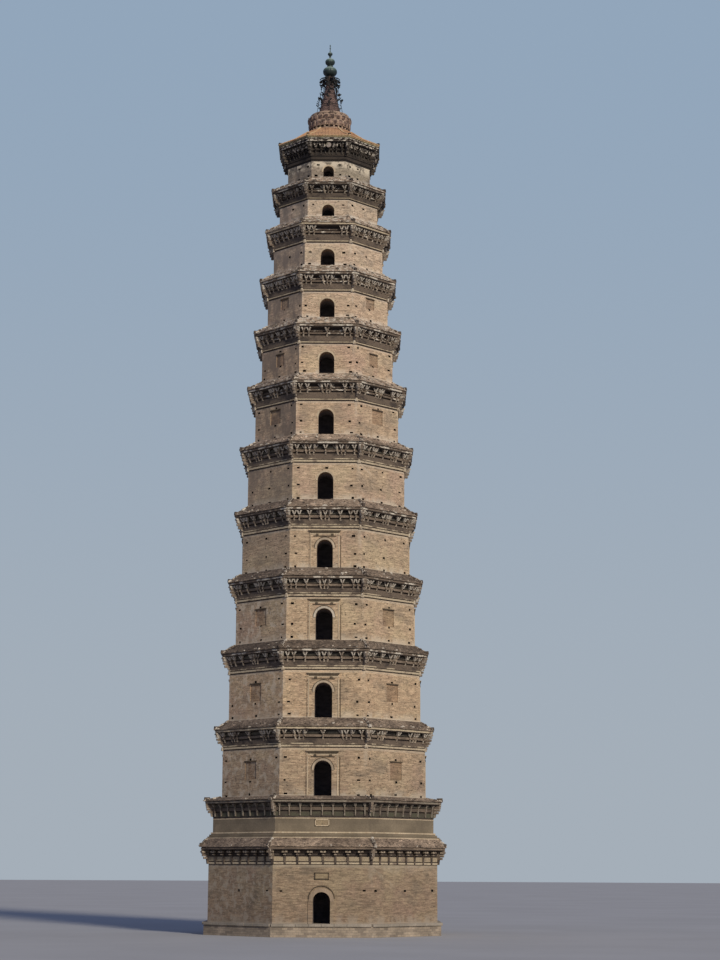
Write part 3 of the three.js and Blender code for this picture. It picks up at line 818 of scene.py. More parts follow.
# Painted shade: dark brick in the recesses between the eave's bands, under the eave's edge and behind the
# bracket heads.
recess_shade_brick = eave_finish("recess_brick_painted_shade", frieze_brown, frieze_deep, 2.2, (0.55, 0.75))
beam_brick = eave_finish("tie_beam_brick", beam_brown, frieze_brown, 3.0, (0.40, 0.60))
board_brick = eave_finish("grey_backing_board", board_grey, frieze_deep, 2.6, (0.3, 0.6))
panel_brick = eave_finish("cream_panel", cream_panel, beam_brown, 2.4, (0.30, 0.46))
stem_brick = eave_finish("tan_bracket_stem", stem_tan, frieze_brown, 4.0, (0.38, 0.60))
stem_dark = eave_finish("dark_bracket_stem", frieze_brown, frieze_deep, 4.0)
worn_head = eave_finish("worn_bracket_heads", head_pale, beam_brown, 5.0, (0.38, 0.54))
eave_brick = eave_finish("worn_eave_course", head_pale, frieze_brown, 2.6, (0.48, 0.57))
brown_course = eave_finish("brown_eave_course", edge_brown, frieze_brown, 2.2)
grey_course = eave_finish("grey_eave_course", edge_grey, frieze_brown, 2.2, (0.36, 0.56))
white_course = clay_finish("whitened_top_course", head_pale, frieze_deep, 9.0, (0.48, 0.55))
moss_course = clay_finish("mossy_top_course", moss_green, frieze_deep, 6.0, (0.40, 0.60))
green_frieze = eave_finish("green_frieze_brick", frieze_green, frieze_deep, 2.2, (0.36, 0.60))
post_brick = eave_finish("grey_bracket_post", post_grey, frieze_brown, 4.0, (0.36, 0.56))
roundel_clay = clay_finish("roundel_clay", (0.30, 0.24, 0.20, 1), moss_green, 7.0, (0.34, 0.56))
head_brick = clay_finish("broken_edge_tile", head_pale, slope_deep, 6.0, (0.40, 0.60))
dull_head = eave_finish("dull_bracket_heads", head_dull, frieze_brown, 5.0, (0.38, 0.54))
pieced_beam = eave_finish("broken_tie_beam", head_pale, frieze_brown, 4.0, (0.53, 0.58))
hip_lime = eave_finish("limed_ridge", head_pale, slope_deep, 4.0, (0.40, 0.56))
hook_clay = eave_finish("dark_corner_clay", frieze_brown, frieze_deep, 5.0)
slope_brick = slope_finish("stepped_slope_brick", slope_grey, slope_deep, 17.0)


def pick(piece, kind, chosen):
    """Opens a piece for editing, with those of its faces, edges or verts picked that the test chooses."""
    bpy.context.view_layer.objects.active = piece
    bpy.ops.object.mode_set(mode="EDIT")
    shape = bmesh.from_edit_mesh(piece.data)
    for face in shape.faces:
        face.select_set(False)
    for part in getattr(shape, kind):
        part.select_set(chosen(part))
    bmesh.update_edit_mesh(piece.data)


def moulded(size, place, finish, top=(1, 1), lean=(0, 0), edge=0.0):
    """A moulded brick: a block whose top is narrower or wider than its foot and leans aside, with edges
    worn pale where they are softened."""
    bpy.ops.mesh.primitive_cube_add(size=1, location=place, scale=size)
    block = bpy.context.object
    bpy.ops.object.transform_apply(location=True, scale=True)
    crest = (place[0], place[1], place[2] + size[2] / 2)
    pick(block, "faces", lambda face: face.normal.z > 0.9)
    bpy.ops.transform.resize(value=(top[0], top[1], 1), center_override=crest)
    bpy.ops.transform.translate(value=(lean[0], lean[1], 0))
    bpy.ops.object.mode_set(mode="OBJECT")
    block.data.materials.append(finish)
    if edge:
        block.data.materials.append(worn_head)
        with_modifier(block, "BEVEL", width=edge, segments=1, material=1)
    return block


# Brackets stand on the front, in real metres, from the foot on the frieze at 0 to the eave at 1.
def fork_bracket(name, stem, arms):
    """A stem that leans out to two arms with a pale block each, under a board."""
    blocks = [
        moulded((0.13, 0.09, 0.10), (0, -0.045, 0.05), stem, edge=0.012),
        moulded((0.085, 0.10, 0.58), (0, -0.06, 0.37), stem, (1, 1.8), (0, -0.09), edge=0.012),
        moulded((0.09, 0.22, 0.10), (0, -0.15, 0.40), stem, (1, 1.2)),
        # A dark block behind the arms and heads, painted shade.
        moulded((0.07, 0.14, 0.17), (0, -0.27, 0.81), recess_shade_brick),
        moulded((0.30, 0.34, 0.045), (0, -0.18, 0.978), beam_brick),
    ]
    for hand in (-1, 1):
        arm = (hand * 0.03, -0.20, 0.75)
        head = (hand * 0.115, -0.30, 0.915)
        blocks += [
            moulded((0.085, 0.16, 0.26), arm, arms, (1.15, 1.1), (hand * 0.065, -0.08)),
            moulded((0.10, 0.17, 0.10), head, worn_head, (1.2, 1.1)),
        ]
    return joined(name, blocks)


def panel_bracket(name):
    """A broad dark bracket between the cream panels, with a small pale block and a pale two-lobed head."""
    blocks = [
        moulded((0.14, 0.09, 0.60), (0, -0.045, 0.30), stem_dark, (1, 1.5), (0, -0.03)),
        moulded((0.11, 0.20, 0.36), (0, -0.13, 0.77), stem_dark, (1, 1.4), (0, -0.04)),
        moulded((0.16, 0.16, 0.05), (0, -0.22, 0.66), dull_head, (1.1, 1.1)),
        moulded((0.34, 0.34, 0.05), (0, -0.18, 0.975), stem_dark),
    ]
    for hand in (-1, 1):
        lobe = (hand * 0.095, -0.29, 0.86)
        blocks.append(moulded((0.17, 0.18, 0.11), lobe, dull_head, (0.75, 1.0), (hand * 0.02, 0)))
    return joined(name, blocks)


def post_bracket(name):
    """A plain bracket: a straight post with a short cap under the eave."""
    blocks = [
        moulded((0.075, 0.10, 0.84), (0, -0.06, 0.46), post_brick, (1, 1.5), (0, -0.07)),
        moulded((0.12, 0.14, 0.09), (0, -0.15, 0.80), post_brick, (1.2, 1.1)),
        moulded((0.17, 0.18, 0.09), (0, -0.20, 0.905), post_brick, (1.2, 1.1)),
        moulded((0.24, 0.30, 0.05), (0, -0.17, 0.975), stem_dark),
    ]
    return joined(name, blocks)


def upturned_hook(name, width, back, reach, rise):
    """A horn of dark clay at the origin, in real metres: it runs out along -Y and curls up past the edge."""
    thick = 0.36 * rise
    horn = moulded((width, back, thick), (0, back / 2, thick / 2), hook_clay, (0.9, 0.9))
    pick(horn, "faces", lambda face: face.normal.y < -0.7)
    for forward, lift, shrink in ((0.5, 0.17, 0.85), (0.4, 0.30, 0.72), (0.1, 0.27, 0.45)):
        extrude_by((0, -forward * reach, lift * rise))
        bpy.ops.transform.resize(value=(shrink, shrink, shrink))
    bpy.ops.object.mode_set(mode="OBJECT")
    horn.name = name
    return horn


def hip_line(corner, foot, head, section, finish):
    """A ridge of a width and height along a hip, whose foot and head are (out from the axis, level)."""
    start = Vector((0, -foot[0], foot[1]))
    end = Vector((0, -head[0], head[1]))
    span = end - start
    width, height = section
    ridge = stone_block("hip_line", (width, span.length, height), (0, 0, 0), ridge_edge, finish)
    lean = Matrix.Rotation(math.atan2(span.z, span.y), 4, "X")
    turn = Matrix.Rotation(corner * 2 * half_sector, 4, "Z")
    return all_set(ridge, [turn @ Matrix.Translation((start + end) / 2) @ lean])


brackets = {
    "fork": fork_bracket("fork_bracket", stem_brick, worn_head),
    "dark_fork": fork_bracket("dark_fork_bracket", stem_dark, white_course),
    "panel": panel_bracket("panel_bracket"),
    "post": post_bracket("post_bracket"),
}
corner_hook = upturned_hook("corner_hook", 0.17, 0.40, 0.20, 0.58)
dark_ridge = moulded((0.24, 0.32, 0.19), (0, 0, 0), hook_clay, (0.6, 0.8), edge=0.02)
pale_ridge = moulded((0.22, 0.28, 0.17), (0, 0, 0), hip_lime, (0.6, 0.8), edge=0.02)
corner_lump = moulded((0.30, 0.24, 0.17), (0, 0.05, 0.05), hip_lime, (0.65, 0.7), edge=0.03)
corner_cap = moulded((0.26, 0.15, 0.27), (0, -0.03, 0.10), string_brick, (0.45, 0.8), edge=0.03)
# The corner beam ends take the darker tie-beam brick, partly as painted shade at the corners.
beam_end = moulded((0.17, 0.60, 0.15), (0, -0.20, 0), beam_brick, (1, 0.94), (0, -0.02), edge=0.015)
gable_stone = moulded((0.62, 0.16, 0.17), (0, 0, 0), hip_lime, (0.25, 0.8), edge=0.015)
edge_stub = moulded((0.20, 0.16, 0.09), (0, 0, 0), head_brick, (0.7, 0.8))
dark_stub = moulded((0.20, 0.16, 0.09), (0, 0, 0), hook_clay, (0.7, 0.8))
bpy.ops.mesh.primitive_cylinder_add(vertices=24, radius=0.18, depth=0.10, rotation=(math.pi / 2, 0, 0))
roundel = bpy.context.object
bpy.ops.object.transform_apply(rotation=True)
roundel.data.materials.append(roundel_clay)
to_model = Matrix.Scale(real, 4)

# Places of the bracket sets by storey, along a side, as shares of half its length: single brackets, sets of
# three, more single ones on the diagonal sides, and stones that stand up over the eave's edge.
single_places = {
    1: [(i - 3) * 0.257 + 0.022 for i in range(7)],
    2: [(i - 3) * 0.235 for i in range(7)],
    3: [0],
    4: [-0.74, -0.45, 0.45, 0.74],
    5: [-0.76, -0.475, 0.475, 0.76],
    6: [-0.73, -0.44, 0.44, 0.73],
    7: [0],
    8: [-0.62, 0.62],
    9: [-0.65, 0, 0.65],
    10: [-0.63, 0.63],
    11: [-0.6, 0.6],
    12: [],
    13: [-0.45, 0.45],
}
triple_places = {
    3: [-0.55, 0.55], 4: [0], 5: [0], 6: [0], 7: [-0.48, 0.48], 8: [0], 10: [0], 12: [0], 13: [0],
}
diagonal_places = {9: (-0.33, 0.33), 10: (-0.34, 0.34), 11: (-0.3, 0, 0.3), 12: (-0.4, 0.4)}
gable_places = {3: (-0.17, 0.62), 6: (0.0,), 7: (-0.09,)}
gable_back = 0.1 * real
# Bands of the bracket ring: kind, out from the wall, and from and to as shares of the height to the eave.
forked_bands = (
    ("recess", 0.01, 0.0, 0.06), ("string", 0.08, 0.06, 0.16), ("recess", 0.02, 0.16, 0.21),
    ("thin", 0.06, 0.21, 0.27), ("frieze", 0.03, 0.27, 0.52), ("recess", -0.03, 0.52, 0.61),
    ("beam", 0.11, 0.61, 0.74), ("recess", 0.01, 0.74, 0.80), ("board", 0.08, 0.80, 0.95),
    ("recess", 0.02, 0.95, 1.0),
)
upper_bands = (
    ("recess", 0.01, 0.0, 0.08), ("string", 0.08, 0.08, 0.14), ("recess", 0.02, 0.14, 0.17),
    ("frieze", 0.06, 0.17, 0.30), ("frieze", 0.03, 0.30, 0.52), ("recess", -0.03, 0.52, 0.61),
    ("pieces", 0.11, 0.61, 0.70), ("recess", 0.01, 0.70, 0.78), ("pieces", 0.08, 0.78, 0.88),
    ("recess", 0.02, 0.88, 1.0),
)
panelled_bands = (
    ("recess", 0.00, 0.0, 0.05), ("string", 0.07, 0.05, 0.17), ("recess", 0.00, 0.17, 0.24),
    ("panel", 0.05, 0.24, 0.54), ("recess", -0.02, 0.54, 0.62), ("recess", 0.05, 0.62, 0.74),
    ("recess", 0.01, 0.74, 0.80), ("frieze", 0.08, 0.80, 0.94), ("recess", 0.02, 0.94, 1.0),
)
plain_bands = (
    ("recess", 0.00, 0.0, 0.11), ("green", 0.03, 0.11, 0.40), ("recess", -0.02, 0.40, 0.50),
    ("frieze", 0.10, 0.50, 0.71), ("recess", 0.01, 0.71, 0.76), ("board", 0.09, 0.76, 0.94),
    ("recess", 0.02, 0.94, 1.0),
)
sooty_bands = (
    ("recess", 0.01, 0.0, 0.10), ("frieze", 0.06, 0.10, 0.24), ("recess", 0.00, 0.24, 0.32),
    ("frieze", 0.04, 0.32, 0.54), ("recess", -0.02, 0.54, 0.62), ("frieze", 0.10, 0.62, 0.75),
    ("recess", 0.01, 0.75, 0.80), ("board", 0.09, 0.80, 0.95), ("recess", 0.02, 0.95, 1.0),
)
# Bands, kind of bracket, and the level of its foot as a share of that height, by storey.
eave_styles = {number: (forked_bands if number < 8 else upper_bands, "fork", 0.45) for number in storeys}
eave_styles[1] = (panelled_bands, "panel", 0.05)
eave_styles[2] = (plain_bands, "post", 0.11)
eave_styles[13] = (sooty_bands, "dark_fork", 0.40)
# The recesses between the bands take the dark brick of painted shade.
band_finishes = {
    "recess": recess_shade_brick, "frieze": frieze_brick, "string": string_brick, "thin": thin_string,
    "beam": beam_brick, "board": board_brick, "panel": panel_brick, "green": green_frieze,
    "pieces": pieced_beam,
}


def bracket_ring(storey, bands):
    """The string courses, frieze, tie beams and backing board of one eave."""
    rise = storey.soffit - storey.head
    inner = storey.half * (1 - wall_share)
    outline = [(inner, storey.head)]
    for _, out, low, high in bands:
        outline.append((storey.half + out * real, storey.head + low * rise))
        outline.append((storey.half + out * real, storey.head + high * rise))
    outline.append((inner, storey.soffit))
    ring = octagon_course("bracket_ring", outline, *band_finishes.values())
    slots = {kind: slot for slot, kind in enumerate(band_finishes)}
    for face in ring.data.polygons:
        share = (face.center.z - storey.head) / rise
        upright = abs(face.normal.z) < 0.5
        for kind, _, low, high in bands:
            within = low - 0.001 <= share <= high + 0.001
            on_ledge = kind != "recess" and min(abs(share - low), abs(share - high)) < 0.002
            if (upright and within) or (not upright and on_ledge):
                face.material_index = slots[kind]
    return ring


# Courses of the eave's edge, in real metres: back from the edge, and from and to over the underside.
eave_courses = ((0.12, 0.0, 0.04), (0.08, 0.04, 0.16), (0.14, 0.16, 0.19), (0.0, 0.19, 0.25))
eave_top = eave_courses[-1][2] * real
eave_edges = {1: brown_course, 2: grey_course, 3: string_brick, 11: string_brick, 13: white_course}
corner_ends = ((0.46, 0.72), (0.64, 0.92), (0.80, 1.0), (0.96, 1.05))    # level up the eave, and length
stub_counts = {1: 8, 2: 6, 3: 14, 4: 20, 5: 20}       # loose pieces along a side's edge and up its slope
usual_stubs = 24
ridge_stones = 4                          # loose stones on each hip
# Painted shade: the underside of the eave's edge and the course at the slope's foot take the dark recess
# brick.
shade_under = 0.038                        # in real metres over the underside: the edge is dark up to here
shade_course = (0.155, 0.185)              # and in this course, over which the slope begins
last_edge = 0.255                         # but the edge of the last eave goes up to here
last_eave_back = 0.05 * real              # the last eave ends this far inside the roof's edge
triple_shift = 0.20 * real                # in a set of three, the outer ones stand this far aside
triple_turn = 0.7                         # and turn this much
flank_turn = 0.45                         # those beside a corner turn towards it, and stand
flank_aside = 0.26 * real                 # this far from it along the side
flank_back = 0.10 * real                  # and this far behind it
off_place = 0.02 * real                   # each bracket may stand this far off its place
corner_foot_share = 0.30                  # brackets at the corners begin here at the highest
corner_stretch = (1.1 * real, 1.4 * real)      # and are wider and deeper than the others
capped = range(3, 12)                     # storeys with a stone at the foot of each corner
cap_rise = 0.03 * real
lump_back = 0.20 * real
gather = 2.5                              # how much more of the loose pieces lie near the edge
stub_back = 0.08 * real
lost_brackets = {11: 0.1}                 # share of the brackets that have fallen off
roundel_out = 0.46 * real
roundel_level = 55.02 * real
first_kind = 0.55                         # share of the first of two kinds of loose stones or stubs


def slope_rim(storey):
    """Half width over the flats at the top of a storey's slope."""
    return tower[2].half + steps_at_foot if storey.number == 1 else storey.next_half


def along_side(line, storey):
    """Whether an edge of an eave runs level along one side, outside the wall."""
    ends = [point.co for point in line.verts]
    level_line = abs(ends[0].z - ends[1].z) < 0.0005
    reach = max(math.hypot(end.x, end.y) for end in ends)
    return level_line and line.calc_length() > 0.5 * storey.side and reach > storey.half


def eave_ring(storey):
    """The courses that step out to the eave, and the slope back up to the next wall."""
    top = storey.next_foot
    edge = overhang
    rim = slope_rim(storey) + 0.02 * real
    if storey.number == 13:
        edge = storey.next_half - storey.half - last_eave_back
    inner = storey.half * (1 - wall_share)
    bearing = inner + floor_bearing
    base = storey.soffit
    outline = [(inner, base)]
    for back, low, high in eave_courses:
        outline.append((storey.half + edge - back * real, base + low * real))
        outline.append((storey.half + edge - back * real, base + high * real))
    if storey.number < 13:
        start_half, start_level = outline[-1]
        rim = min(rim, start_half)
        run = (start_half - rim) / slope_courses
        rise = (top - start_level) / slope_courses
        for i in range(slope_courses):
            outline.append((start_half - (i + 0.8) * run, start_level + (i + 0.1) * rise))
            outline.append((start_half - (i + 1) * run, start_level + (i + 1) * rise))
        outline += [(bearing, top), (bearing, top - floor_depth), (inner, top - floor_depth)]
    else:
        outline += [(storey.half + edge, top), (inner, top)]
    top_finish = slope_brick if storey.number < 13 else moss_course
    edge_finish = eave_edges.get(storey.number, eave_brick)
    ring = octagon_course("eave_ring", outline, top_finish, edge_finish, recess_shade_brick)
    pick(ring, "edges", lambda line: along_side(line, storey))
    bpy.ops.mesh.subdivide(number_cuts=max(8, round(storey.side / chip_length)))
    bpy.ops.object.mode_set(mode="OBJECT")
    skin = ring.vertex_groups.new(name="weathered")
    for point in ring.data.vertices:
        reach = max(abs(point.co.x), abs(point.co.y), (abs(point.co.x) + abs(point.co.y)) * math.sqrt(0.5))
        if reach > storey.half + sound_to and point.co.z > base + 0.001:
            skin.add([point.index], min(1.0, (reach - storey.half) / worn_run), "REPLACE")
    chips = bpy.data.textures.get("eave_chips") or bpy.data.textures.new("eave_chips", "CLOUDS")
    chips.noise_scale = 0.16
    chips.noise_depth = 3
    with_modifier(ring, "DISPLACE", texture=chips, texture_coords="LOCAL", strength=chip_depth,
                  mid_level=0.55, vertex_group="weathered")
    for face in ring.data.polygons:
        height = (face.center.z - base) / real
        if height > (shade_course[1] if storey.number < 13 else last_edge):
            face.material_index = 0
        elif height < shade_under or shade_course[0] < height < shade_course[1]:
            face.material_index = 2
        else:
            face.material_index = 1
    return ring


def uneven(*ranges):
    """A stretch by chance along each axis, within a range for each."""
    return Matrix.Diagonal([*(dice.uniform(low, high) for low, high in ranges), 1])


for storey in tower.values():
    number = storey.number
    rise = storey.soffit - storey.head
    bands, kind, foot_share = eave_styles[number]
    bracket_foot = storey.head + foot_share * rise
    to_height = Matrix.Diagonal((real, real, storey.soffit - bracket_foot, 1))
    parts = [bracket_ring(storey, bands), eave_ring(storey)]
    places = []
    half_side = storey.side / 2
    corner_half = storey.half / math.cos(half_sector)
    corner_foot = storey.head + min(foot_share, corner_foot_share) * rise
    to_corner = Matrix.Diagonal((*corner_stretch, storey.soffit - corner_foot, 1))
    for side in range(8):
        spots = [(share, 0.0) for share in single_places[number]]
        for share in triple_places.get(number, []):
            shift = triple_shift / half_side
            spots += [(share - shift, -triple_turn), (share, 0.0), (share + shift, triple_turn)]
        if side in diagonal_sides:
            spots += [(share, 0.0) for share in diagonal_places.get(number, ())]
        for share, yaw in spots:
            if number in lost_brackets and dice.random() < lost_brackets[number]:
                continue
            jitter = dice.uniform(-1, 1) * off_place
            lean = Matrix.Rotation(yaw + dice.uniform(-0.04, 0.04), 4, "Z")
            spot = set_at(side, share * half_side + jitter, 0, bracket_foot, storey.half)
            places.append(spot @ lean @ to_height)
        corner = corners[side]
        places.append(set_at(corner, 0, 0, corner_foot, corner_half) @ to_corner)
        if number > 1:
            for hand in (-1, 1):
                lean = Matrix.Rotation(hand * flank_turn, 4, "Z")
                flank = set_at(corner, hand * flank_aside, -flank_back, bracket_foot, corner_half)
                places.append(flank @ lean @ to_height)
    parts += copies_of(brackets[kind], places)
    for level, length in corner_ends:
        parts += copies_of(beam_end, [
            set_at(corner, 0, 0, storey.head + level * rise, corner_half) @ to_model
            @ Matrix.Diagonal((1, length, 1, 1))
            for corner in corners
        ])
    if number in capped:
        parts += copies_of(corner_cap, [
            set_at(corner, 0, 0, storey.head + cap_rise, corner_half) @ to_model for corner in corners
        ])
    slope_foot = storey.soffit + eave_top
    slope_rise = storey.next_foot - slope_foot
    if number < 13:
        eave_half = (storey.half + overhang) / math.cos(half_sector)
        rim_half = slope_rim(storey) / math.cos(half_sector)
        on_slope = Matrix.Rotation(math.atan2(slope_rise, eave_half - rim_half), 4, "X")
        for corner in corners:
            parts += hip_line(corner, (eave_half - hip_back, slope_foot), (rim_half, storey.next_foot),
                              slope_hip, slope_brick)
            for i in range(ridge_stones):
                share = (i + dice.uniform(0.3, 0.9)) / ridge_stones
                stone_half = eave_half + (rim_half - eave_half) * share
                spread = uneven((0.6, 1.3), (0.6, 1.3), (0.5, 1.0))
                tilt = Matrix.Rotation(dice.uniform(-0.3, 0.3), 4, "Z") @ on_slope
                along = dice.uniform(-0.06, 0.06) * real
                place = set_at(corner, along, 0, slope_foot + slope_rise * share, stone_half)
                stone = dark_ridge if dice.random() < first_kind else pale_ridge
                parts += copies_of(stone, [place @ tilt @ to_model @ spread])
            lump = Matrix.Diagonal([dice.uniform(0.7, 1.1), 1, dice.uniform(0.6, 1.1), 1])
            along = dice.uniform(-0.08, 0.08) * real
            place = set_at(corner, along, -lump_back, slope_foot, eave_half)
            parts += copies_of(corner_lump, [place @ to_model @ lump])
        parts += copies_of(corner_hook, [
            set_at(corner, 0, 0, slope_foot, eave_half) @ to_model for corner in corners
        ])
        gable_half = storey.half + overhang - gable_back
        parts += copies_of(gable_stone, [
            set_at(side, share * half_side, 0, slope_foot + 0.02 * real, gable_half) @ to_model
            for share in gable_places.get(number, ()) for side in main_sides
        ])
    edge_side = 2 * (storey.half + overhang) * math.tan(half_sector)
    for side in range(8):
        for i in range(stub_counts.get(number, usual_stubs)):
            up_slope = dice.random() ** gather if number < 13 else 0
            run = up_slope * (storey.half + overhang - storey.next_half)
            along = dice.uniform(-0.47, 0.47) * (edge_side - 0.8 * run)
            level = slope_foot + up_slope * slope_rise + dice.uniform(-0.04, 0.04) * real
            place = set_at(side, along, 0, level, storey.half + overhang - run - stub_back)
            turn = Matrix.Rotation(dice.uniform(-0.5, 0.5), 4, "Z")
            tilt = Matrix.Rotation(dice.uniform(-0.2, 0.2), 4, "Y")
            spread = uneven((0.4, 1.3), (0.7, 1.1), (0.6, 1.3))
            stub = edge_stub if dice.random() < first_kind else dark_stub
            parts += copies_of(stub, [place @ turn @ tilt @ to_model @ spread])
    if number == 13:
        parts += copies_of(roundel, [
            set_at(side, 0, roundel_out, roundel_level, storey.half) @ to_model for side in main_sides
        ])
    eave = joined(f"bracketed_eave_{number:02d}", parts)
    map_courses(eave)
    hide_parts(f"cornice_{number:02d}")
    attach(eave, "root")
for template in (*brackets.values(), corner_hook, dark_ridge, pale_ridge, corner_lump, corner_cap, beam_end,
                 gable_stone, roundel, edge_stub, dark_stub):
    bpy.data.objects.remove(template)

# Plaques: two plain stone tablets let into the front, one over the doorway and one on the second storey,
# each with a thin raised border.
tablet_pale = (0.345, 0.256, 0.150, 1)
tablet_dark = (0.25, 0.178, 0.102, 1)
border_width = 0.07 * real
tablet_edge = 0.008 * real
border_edge = 0.01 * real
tablet_stone = clay_finish("tablet_stone", tablet_pale, tablet_dark, 7.0, (0.35, 0.65), 0.3)
for node, border in (("door_plaque", shade_and_stain_moulding), ("upper_plaque", pale_moulding)):
    low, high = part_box(node)
    middle = (low + high) / 2
    size = high - low
    depth = 0.75 * size.y
    tablet_parts = [stone_block(
        "tablet", (size.x - 2 * border_width, depth, size.z - 2 * border_width),
        (middle.x, high.y - depth / 2, middle.z), tablet_edge, tablet_stone,
    )]
    for hand in (-1, 1):
        beside = middle + Vector((hand * (size.x - border_width) / 2, 0, 0))
        above = middle + Vector((0, 0, hand * (size.z - border_width) / 2))
        tablet_parts += [
            stone_block("upright", (border_width, size.y, size.z), beside, border_edge, border),
            stone_block("rail", (size.x, size.y, border_width), above, border_edge, border),
        ]
    plaque = joined(f"tablet_of_{node}", tablet_parts)
    map_courses(plaque)
    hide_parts(node)
    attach(plaque, "root")

# Top roof: eight slopes of new orange clay tile over a boarded eave, with ribs down each slope, a pale edge
# course, tile ridges on the hips and a dark horn at each corner.
tile_orange = (0.51, 0.280, 0.140, 1)
tile_brown = (0.31, 0.165, 0.088, 1)
tile_edge = (0.62, 0.44, 0.235, 1)
moss_and_shade_dark = (0.10, 0.095, 0.05, 1)
rib_spacing = 0.23 * real
rib_radius = 0.035 * real
roof_hip = (0.15 * real, 0.10 * real)     # width and height of the ridge on each hip
roof_low, roof_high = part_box("top_roof")
roof_edge = half_at("top_roof", roof_low.z)
roof_slope = (                            # half width over the flats, and height over the roof's foot
    (roof_edge, 0.10 * real), (2.5 * real, 0.72 * real), (1.55 * real, roof_high.z - roof_low.z),
)
roof_tile = clay_finish("orange_roof_tile", tile_orange, tile_brown, 1.7, (0.36, 0.52))
edge_tile = clay_finish("glazed_edge_tile", tile_edge, tile_orange, 5.0, (0.35, 0.55))
moss_and_shade_board = clay_finish("eave_board_moss_and_painted_shade", tile_edge, moss_and_shade_dark, 6.0, (0.52, 0.64))
roof_hole = 0.6 * real                    # half width of the hole in the middle, under the seat
board_half = roof_edge - 0.05 * real
board_top = roof_low.z + 0.06 * real
tile_foot = roof_low.z + roof_slope[0][1]
roof_shell = octagon_course("roof_shell", [
    (roof_hole, roof_low.z), (board_half, roof_low.z), (board_half, board_top), (roof_edge, board_top),
    (roof_edge, tile_foot), (roof_slope[1][0], roof_low.z + roof_slope[1][1]),
    (roof_slope[2][0], roof_high.z), (roof_hole, roof_high.z),
], roof_tile, edge_tile, moss_and_shade_board)
# Painted shade with moss: the roof's undersides take the dark green board.
for face in roof_shell.data.polygons:
    if face.normal.z < -0.5:
        face.material_index = 2
    elif face.center.z < tile_foot:
        face.material_index = 1
roof_parts = [roof_shell]
ribs_each_way = math.floor(roof_edge * math.tan(half_sector) / rib_spacing)
ribs = []
for i in range(-ribs_each_way, ribs_each_way + 1):
    bpy.ops.mesh.primitive_circle_add(vertices=6, radius=rib_radius, fill_type="NGON",
                                      location=(i * rib_spacing, -roof_edge, tile_foot),
                                      rotation=(math.pi / 2, 0, 0))
    rib = bpy.context.object
    bpy.ops.object.transform_apply(location=True, rotation=True)
    bpy.ops.object.mode_set(mode="EDIT")
    bpy.ops.mesh.select_all(action="SELECT")
    for (half, level), (next_half, next_level) in zip(roof_slope, roof_slope[1:]):
        extrude_by((0, half - next_half, next_level - level))
    for hand in (-1, 1):
        past_hip = (hand * math.cos(half_sector), math.sin(half_sector), 0)
        bpy.ops.mesh.select_all(action="SELECT")
        bpy.ops.mesh.bisect(plane_co=(0, 0, 0), plane_no=past_hip, clear_outer=True, use_fill=True)
    bpy.ops.object.mode_set(mode="OBJECT")
    rib.data.materials.append(roof_tile)
    ribs.append(rib)
side_ribs = joined("tile_ribs", ribs)
with_modifier(side_ribs, "WELD", merge_threshold=0.0002)
roof_parts += all_set(side_ribs, [Matrix.Rotation(side * 2 * half_sector, 4, "Z") for side in range(8)])
hip_points = [(half / math.cos(half_sector), roof_low.z + level) for half, level in roof_slope]
for corner in corners:
    for foot, head in zip(hip_points, hip_points[1:]):
        roof_parts += hip_line(corner, foot, head, roof_hip, edge_tile)
horn = upturned_hook("roof_horn", 0.15, 0.30, 0.14, 0.46)
roof_parts += all_set(horn, [
    set_at(corner, 0, 0, tile_foot, hip_points[0][0]) @ to_model for corner in corners
])
crown_roof = joined("orange_top_roof", roof_parts)
map_courses(crown_roof)
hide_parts("top_roof")
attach(crown_roof, "root")

# Lotus seat: a round drum of dark moulded brick under the spire, with a pierced base band, rows of
# upright petals, and a plain rim at the top.
petal_pink = (0.33, 0.215, 0.16, 1)
petal_dark = (0.085, 0.055, 0.042, 1)
rim_tan = (0.42, 0.29, 0.20, 1)
seat_low, seat_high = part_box("lotus_seat")
seat_height = seat_high.z - seat_low.z
post_size = (0.13 * real, 0.14 * real, 0.10 * seat_height)
post_count = 26
post_out = 1.37 * real
petal_count = 22                          # in each row
petal_bulge = 0.08 * real
rim_bands = ((-0.1, 0.11), (0.205, 0.25), (0.905, 1.1))   # shares of the seat's height with the rim's brick
# Rows of petals: out from the axis in real metres, foot as a share of the seat's height, height and width in
# real metres, lean, and turn as a part of one petal.
petal_rows = ((1.43, 0.255, 0.40, 0.44, 0.10, 0.0), (1.43, 0.52, 0.44, 0.46, 0.30, 0.5))
petal_brick = clay_finish("moulded_petal_brick", petal_pink, petal_dark, 7.0, (0.44, 0.62))
seat_shadow = clay_finish("dark_seat_brick", petal_dark, frieze_deep, 4.0)
rim_brick = clay_finish("tan_rim_brick", rim_tan, petal_dark, 5.0, (0.36, 0.52))


def turned_piece(name, outline, around, *finishes):
    """A round solid from an open outline of (radius, level), closed at its foot and its head."""
    radius, level = outline[0]
    bpy.ops.mesh.primitive_circle_add(vertices=around, radius=radius, location=(0, 0, level))
    piece = bpy.context.object
    piece.name = name
    bpy.ops.object.transform_apply(location=True)
    bpy.ops.object.mode_set(mode="EDIT")
    for next_radius, next_level in outline[1:]:
        extrude_by((0, 0, next_level - level))
        growth = next_radius / radius
        bpy.ops.transform.resize(value=(growth, growth, 1), center_override=(0, 0, next_level))
        radius, level = next_radius, next_level
    bpy.ops.mesh.select_all(action="SELECT")
    bpy.ops.mesh.fill_holes(sides=0)
    bpy.ops.mesh.normals_make_consistent(inside=False)
    bpy.ops.object.mode_set(mode="OBJECT")
    for finish in finishes:
        piece.data.materials.append(finish)
    return piece


